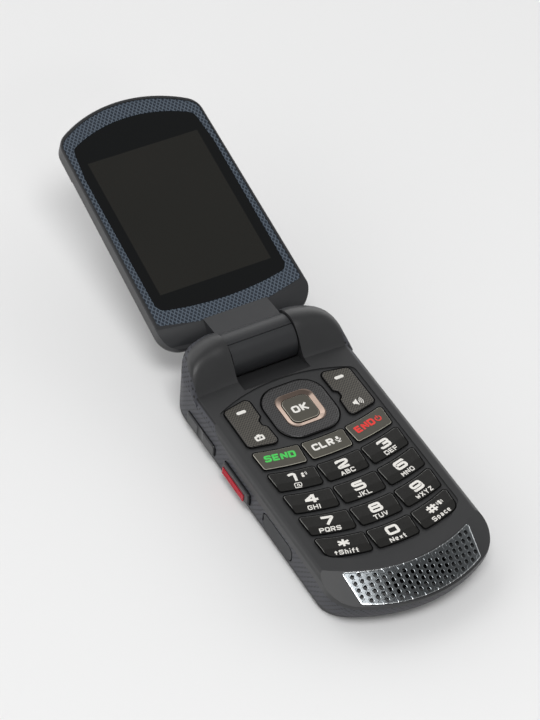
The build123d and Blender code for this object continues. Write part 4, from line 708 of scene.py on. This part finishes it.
def disc_path(centre, radius, start=0.0, end=2 * pi, count=20):
    return [Vector((centre[0] + radius * cos(start + (end - start) * k / count),
                    centre[1] + radius * sin(start + (end - start) * k / count))) for k in range(count + 1)]


def moved(paths, dx, dy):
    return [([p + Vector((dx, dy)) for p in path], width) for path, width in paths]


def pad_print(name, node, body, inks, place, turn):
    """inks is a list of (material, paths); place is the middle in millimetres and turn its angle."""
    target = nodes[node].data
    surface = BVHTree.FromPolygons([v.co for v in target.vertices],
                                   [tuple(face.vertices) for face in target.polygons])
    verts, faces, ink_of = [], [], []
    for ink_number, (_, paths) in enumerate(inks):
        for path_number, (path, width) in enumerate(paths):
            rows, path_faces = ribbon(path, width)
            base = len(verts)
            for p in rows:
                x = place[0] + p.x * cos(turn) - p.y * sin(turn)
                y = place[1] + p.x * sin(turn) + p.y * cos(turn)
                hit = surface.ray_cast(Vector((x * MM, y * MM, 0.05)), Vector((0, 0, -1)))[0]
                verts.append((x * MM, y * MM, hit.z + (PAINT_MM + 0.002 * path_number) * MM))
            faces += [tuple(base + k for k in face) for face in path_faces]
            ink_of += [ink_number] * len(path_faces)
    mesh = bpy.data.meshes.new(name)
    mesh.from_pydata(verts, [], faces)
    for ink, _ in inks:
        mesh.materials.append(ink)
    mesh.polygons.foreach_set("material_index", ink_of)
    mesh.update()
    piece = bpy.data.objects.new(name, mesh)
    bpy.context.scene.collection.objects.link(piece)
    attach(piece, body)


print("corner of a path:", ARC_STEPS + 1, "points, runs of", RUN_MM, "mm")

# %% [markdown]
# Pad-printing ink is opaque and satin. It is never one even colour: the film is thinner in places, so the
# white moves a little between two tones.

# %% Inks


def ink(name, full, thin):
    material = new_material(name, full, 0.45, IOR=1.5)
    into_shader(material, Base_Color=cloudy_colour(material, full, thin, 0.8))
    return material


white_ink = ink("pad_printed_white_ink", "#EDEBE6", "#DAD7D0")
green_ink = ink("pad_printed_green_ink", "#4CD35C", "#36B84A")
red_ink = ink("pad_printed_red_ink", "#E8372F", "#D42C26")
print("inks:", white_ink.name, green_ink.name, red_ink.name)

# %% [markdown]
# Each row of keys lies on an arc, so each legend stands on that arc too, turned to match. The number sits
# in the upper part of its key and the letters under the crease.

# %% Legends on the number keys
ROW_TOP_Y_MM = 6.4
ROW_PITCH_MM = 8.95
ROW_ARC_R_MM = 75.0
ROW_ARC_STEP_MM = 5.1
COLUMN_X_MM = 14.35
NUMBER_DROP_MM = 2.4
LETTERS_DROP_MM = 5.4
WORD_DROP_MM = 2.75

NUMBER = {"height": 3.2, "width": 3.9, "gap": 0.5, "stroke": 0.82, "corner": 0.6}
LETTERS = {"height": 1.5, "width": 1.36, "gap": 0.25, "stroke": 0.31, "corner": 0.3}
WORD = {"height": 2.45, "width": 2.1, "gap": 0.26, "stroke": 0.62, "corner": 0.5}


def on_row(row, column, drop):
    """The place and turn of a legend whose middle is drop below the row's top arc."""
    top_r = ROW_ARC_R_MM - row * ROW_ARC_STEP_MM
    centre_y = ROW_TOP_Y_MM - row * ROW_PITCH_MM + top_r
    x = column * COLUMN_X_MM
    turn = asin(x / (top_r + drop))
    return (x, centre_y - (top_r + drop) * cos(turn)), turn


star_paths = glyph_paths("*", 3.1, 4.2, 0.0, 0.66, 0.1)
hash_paths = glyph_paths("#", 3.3, 3.9, 0.0, 0.6, 0.1)
at_paths = glyph_paths("@", 1.8, 2.2, 0.0, 0.24, 0.3)
number_keys = (
    ("key_1", 1, -1, "1", "@"), ("key_2", 1, 0, "2", "ABC"), ("key_3", 1, 1, "3", "DEF"),
    ("key_4", 2, -1, "4", "GHI"), ("key_5", 2, 0, "5", "JKL"), ("key_6", 2, 1, "6", "MNO"),
    ("key_7", 3, -1, "7", "PQRS"), ("key_8", 3, 0, "8", "TUV"), ("key_9", 3, 1, "9", "WXYZ"),
    ("key_star", 4, -1, "*", "^Shift"), ("key_0", 4, 0, "0", "Next"), ("key_hash", 4, 1, "#", "Space"),
)
for key, row, column, number, letters in number_keys:
    place, turn = on_row(row, column, NUMBER_DROP_MM)
    big = {"*": star_paths, "#": hash_paths}.get(number) or glyph_paths(number, **NUMBER)
    small = at_paths if letters == "@" else glyph_paths(letters, **LETTERS)
    paths = moved(big, -0.6 * (number in "1#"), 0.0) + moved(small, 0.0, NUMBER_DROP_MM - LETTERS_DROP_MM)
    if number == "1":
        head = [(disc_path((2.3, 0.65), 0.2), 0.4), ([Vector((1.9, -0.2)), Vector((2.7, -0.2))], 0.7)]
        waves = [(disc_path((2.7, 0.6), r, -0.7, 0.9, 6), 0.16) for r in (0.5, 0.85)]
        paths += head + waves
    if number == "#":
        handset = [([Vector((2.6, -0.5)), Vector((2.6, 1.0))], 0.7)]
        waves = [(disc_path((2.6, 0.3), r, a, a + 1.2, 6), 0.16)
                 for r in (0.75, 1.05) for a in (-0.6, pi - 0.6)]
        paths += handset + waves
    pad_print("legend_" + key, key, key, [(white_ink, paths)], place, turn)
print("number legends:", len(number_keys))

# %% [markdown]
# The three function keys carry a word each, and two of them a small picture: a microphone for voice
# recording and the usual power sign. The centre key says OK.

# %% Words on the function keys
send_place, send_turn = on_row(0, -1, WORD_DROP_MM)
pad_print("legend_key_send", "key_send", "key_send",
          [(green_ink, glyph_paths("SEND", **WORD))], send_place, send_turn)

clear_place, clear_turn = on_row(0, 0, WORD_DROP_MM)
microphone_icon = [
    ([Vector((0, -0.05)), Vector((0, 1.0))], 0.75),
    (disc_path((0, 0.1), 0.75, pi, 2 * pi, 10), 0.26),
    ([Vector((0, -0.6)), Vector((0, -1.1))], 0.26),
    ([Vector((-0.55, -1.1)), Vector((0.55, -1.1))], 0.26),
]
pad_print("legend_key_clear", "key_clear", "key_clear",
          [(white_ink, moved(glyph_paths("CLR", **WORD), -1.3, 0.0) + moved(microphone_icon, 3.5, 0.0))],
          clear_place, clear_turn)

end_place, end_turn = on_row(0, 1, WORD_DROP_MM)
power_icon = [
    (disc_path((0, -0.1), 0.85, pi / 2 + 0.6, 5 * pi / 2 - 0.6, 16), 0.36),
    ([Vector((0, 0.0)), Vector((0, 1.1))], 0.36),
]
pad_print("legend_key_end", "key_end", "key_end",
          [(red_ink, moved(glyph_paths("END", **WORD), -1.4, 0.0) + moved(power_icon, 3.5, 0.0))],
          end_place, end_turn)
pad_print("legend_ok_key", "ok_key", "ok_key",
          [(white_ink, glyph_paths("OK", 2.65, 2.4, 0.35, 0.66, 0.55))], (-0.1, 18.7), 0.0)
print("words stand at", [tuple(round(v, 2) for v in place) for place in (send_place, clear_place, end_place)])

# %% [markdown]
# Each soft key has a white pill at its upper end, which stands for the word shown on the screen above it.
# The lower ends carry a camera on the left and a loudspeaker on the right.

# %% Marks on the soft keys
MARK_X_MM = 16.0
MARK_Y_MM = 13.6
PILL_UP_MM = 10.7
pill_paths = [([Vector((-0.9, 0)), Vector((0.9, 0))], 1.15), (disc_path((-0.9, 0), 0.29), 0.58),
              (disc_path((0.9, 0), 0.29), 0.58)]
camera_body = [Vector(p) for p in ((-1.1, -0.75), (-1.1, 0.6), (1.1, 0.6), (1.1, -0.75), (-1.1, -0.75))]
camera_icon = [
    (rounded(camera_body, 0.2), 0.6),
    ([Vector((-0.5, 1.0)), Vector((0.5, 1.0))], 0.5),
    (disc_path((0, -0.07), 0.14), 0.28),
]
speaker_icon = [
    ([Vector((-1.6, 0)), Vector((-0.85, 0))], 1.0),
    ([Vector((-0.95, 0)), Vector((-0.65, 0))], 1.4),
    ([Vector((-0.65, 0)), Vector((-0.4, 0))], 1.9),
    ([Vector((-0.4, 0)), Vector((-0.15, 0))], 2.4),
    *((disc_path((-0.2, 0), r, -0.8, 0.8, 8), 0.24) for r in (0.7, 1.2, 1.7)),
]
for key, sign, icon in (("soft_key_left", -1, camera_icon), ("soft_key_right", 1, speaker_icon)):
    inks = [(white_ink, moved(pill_paths, 0.0, PILL_UP_MM) + icon)]
    pad_print("mark_" + key, key, key, inks, (sign * MARK_X_MM, MARK_Y_MM), 0.0)
print("marks:", len(camera_icon), "and", len(speaker_icon), "paths, with a pill of", len(pill_paths))

# %% [markdown]
# Every key stands in a well with a gap of a quarter millimetre, and hardly any light comes back out of it.
# A thin matte black ribbon on the lip of each well is painted shade, so the key stands inside a clean dark
# line. The line follows the outline of the key, which is found by cutting through the key's own mesh below
# its rounded edge.

# %% Painted shade round the keys
import bmesh

DECK_MM = 13.2
CUT_MM = 12.9
LIP_FROM_MM = 0.1
LIP_WIDTH_MM = 0.3

# A flat black ribbon round each key stands for the shade in its well.
painted_well_shade = new_material("painted_shade_well_lip", "#030303", 0.95, Specular_IOR_Level=0.08)
into_shader(painted_well_shade, Base_Color=cloudy_colour(painted_well_shade, "#020202", "#060606", 2.0))


def outline(node, z_mm):
    """The longest closed line in which a level plane cuts a node, anticlockwise, in millimetres."""
    solid = bmesh.new()
    solid.from_mesh(nodes[node].data)
    bmesh.ops.remove_doubles(solid, verts=solid.verts, dist=0.001 * MM)
    cut = bmesh.ops.bisect_plane(solid, geom=solid.verts[:] + solid.edges[:] + solid.faces[:],
                                 plane_co=(0, 0, z_mm * MM), plane_no=(0, 0, 1))["geom_cut"]
    edges = {edge for edge in cut if isinstance(edge, bmesh.types.BMEdge)}
    loops = []
    while edges:
        edge = edges.pop()
        first, last = edge.verts
        loop = [first, last]
        while last is not first:
            following = next((e for e in last.link_edges if e in edges), None)
            if following is None:
                break
            edges.remove(following)
            last = following.other_vert(last)
            loop.append(last)
        loops.append([vert.co.to_2d() / MM for vert in loop])
    solid.free()
    longest = max(loops, key=lambda loop: sum((b - a).length for a, b in zip(loop, loop[1:])))
    spin = sum(a.x * b.y - a.y * b.x for a, b in zip(longest, longest[1:]))
    return longest if spin > 0 else longest[::-1]


lip_verts, lip_faces = [], []
for key in [name for name in nodes if name.startswith(("key_", "soft_key_"))] + ["nav_ring"]:
    rows, faces = ribbon(outline(key, CUT_MM), LIP_WIDTH_MM, -LIP_FROM_MM - LIP_WIDTH_MM / 2)
    lip_faces += [tuple(len(lip_verts) + k for k in face) for face in faces]
    lip_verts += [(p.x * MM, p.y * MM, (DECK_MM + PAINT_MM) * MM) for p in rows]
lip_mesh = bpy.data.meshes.new("painted_shade_lines")
lip_mesh.from_pydata(lip_verts, [], lip_faces)
lip_mesh.materials.append(painted_well_shade)
painted_shade_lines = bpy.data.objects.new("painted_shade_lines", lip_mesh)
bpy.context.scene.collection.objects.link(painted_shade_lines)
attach(painted_shade_lines, "base")
print("lip faces:", len(lip_faces))
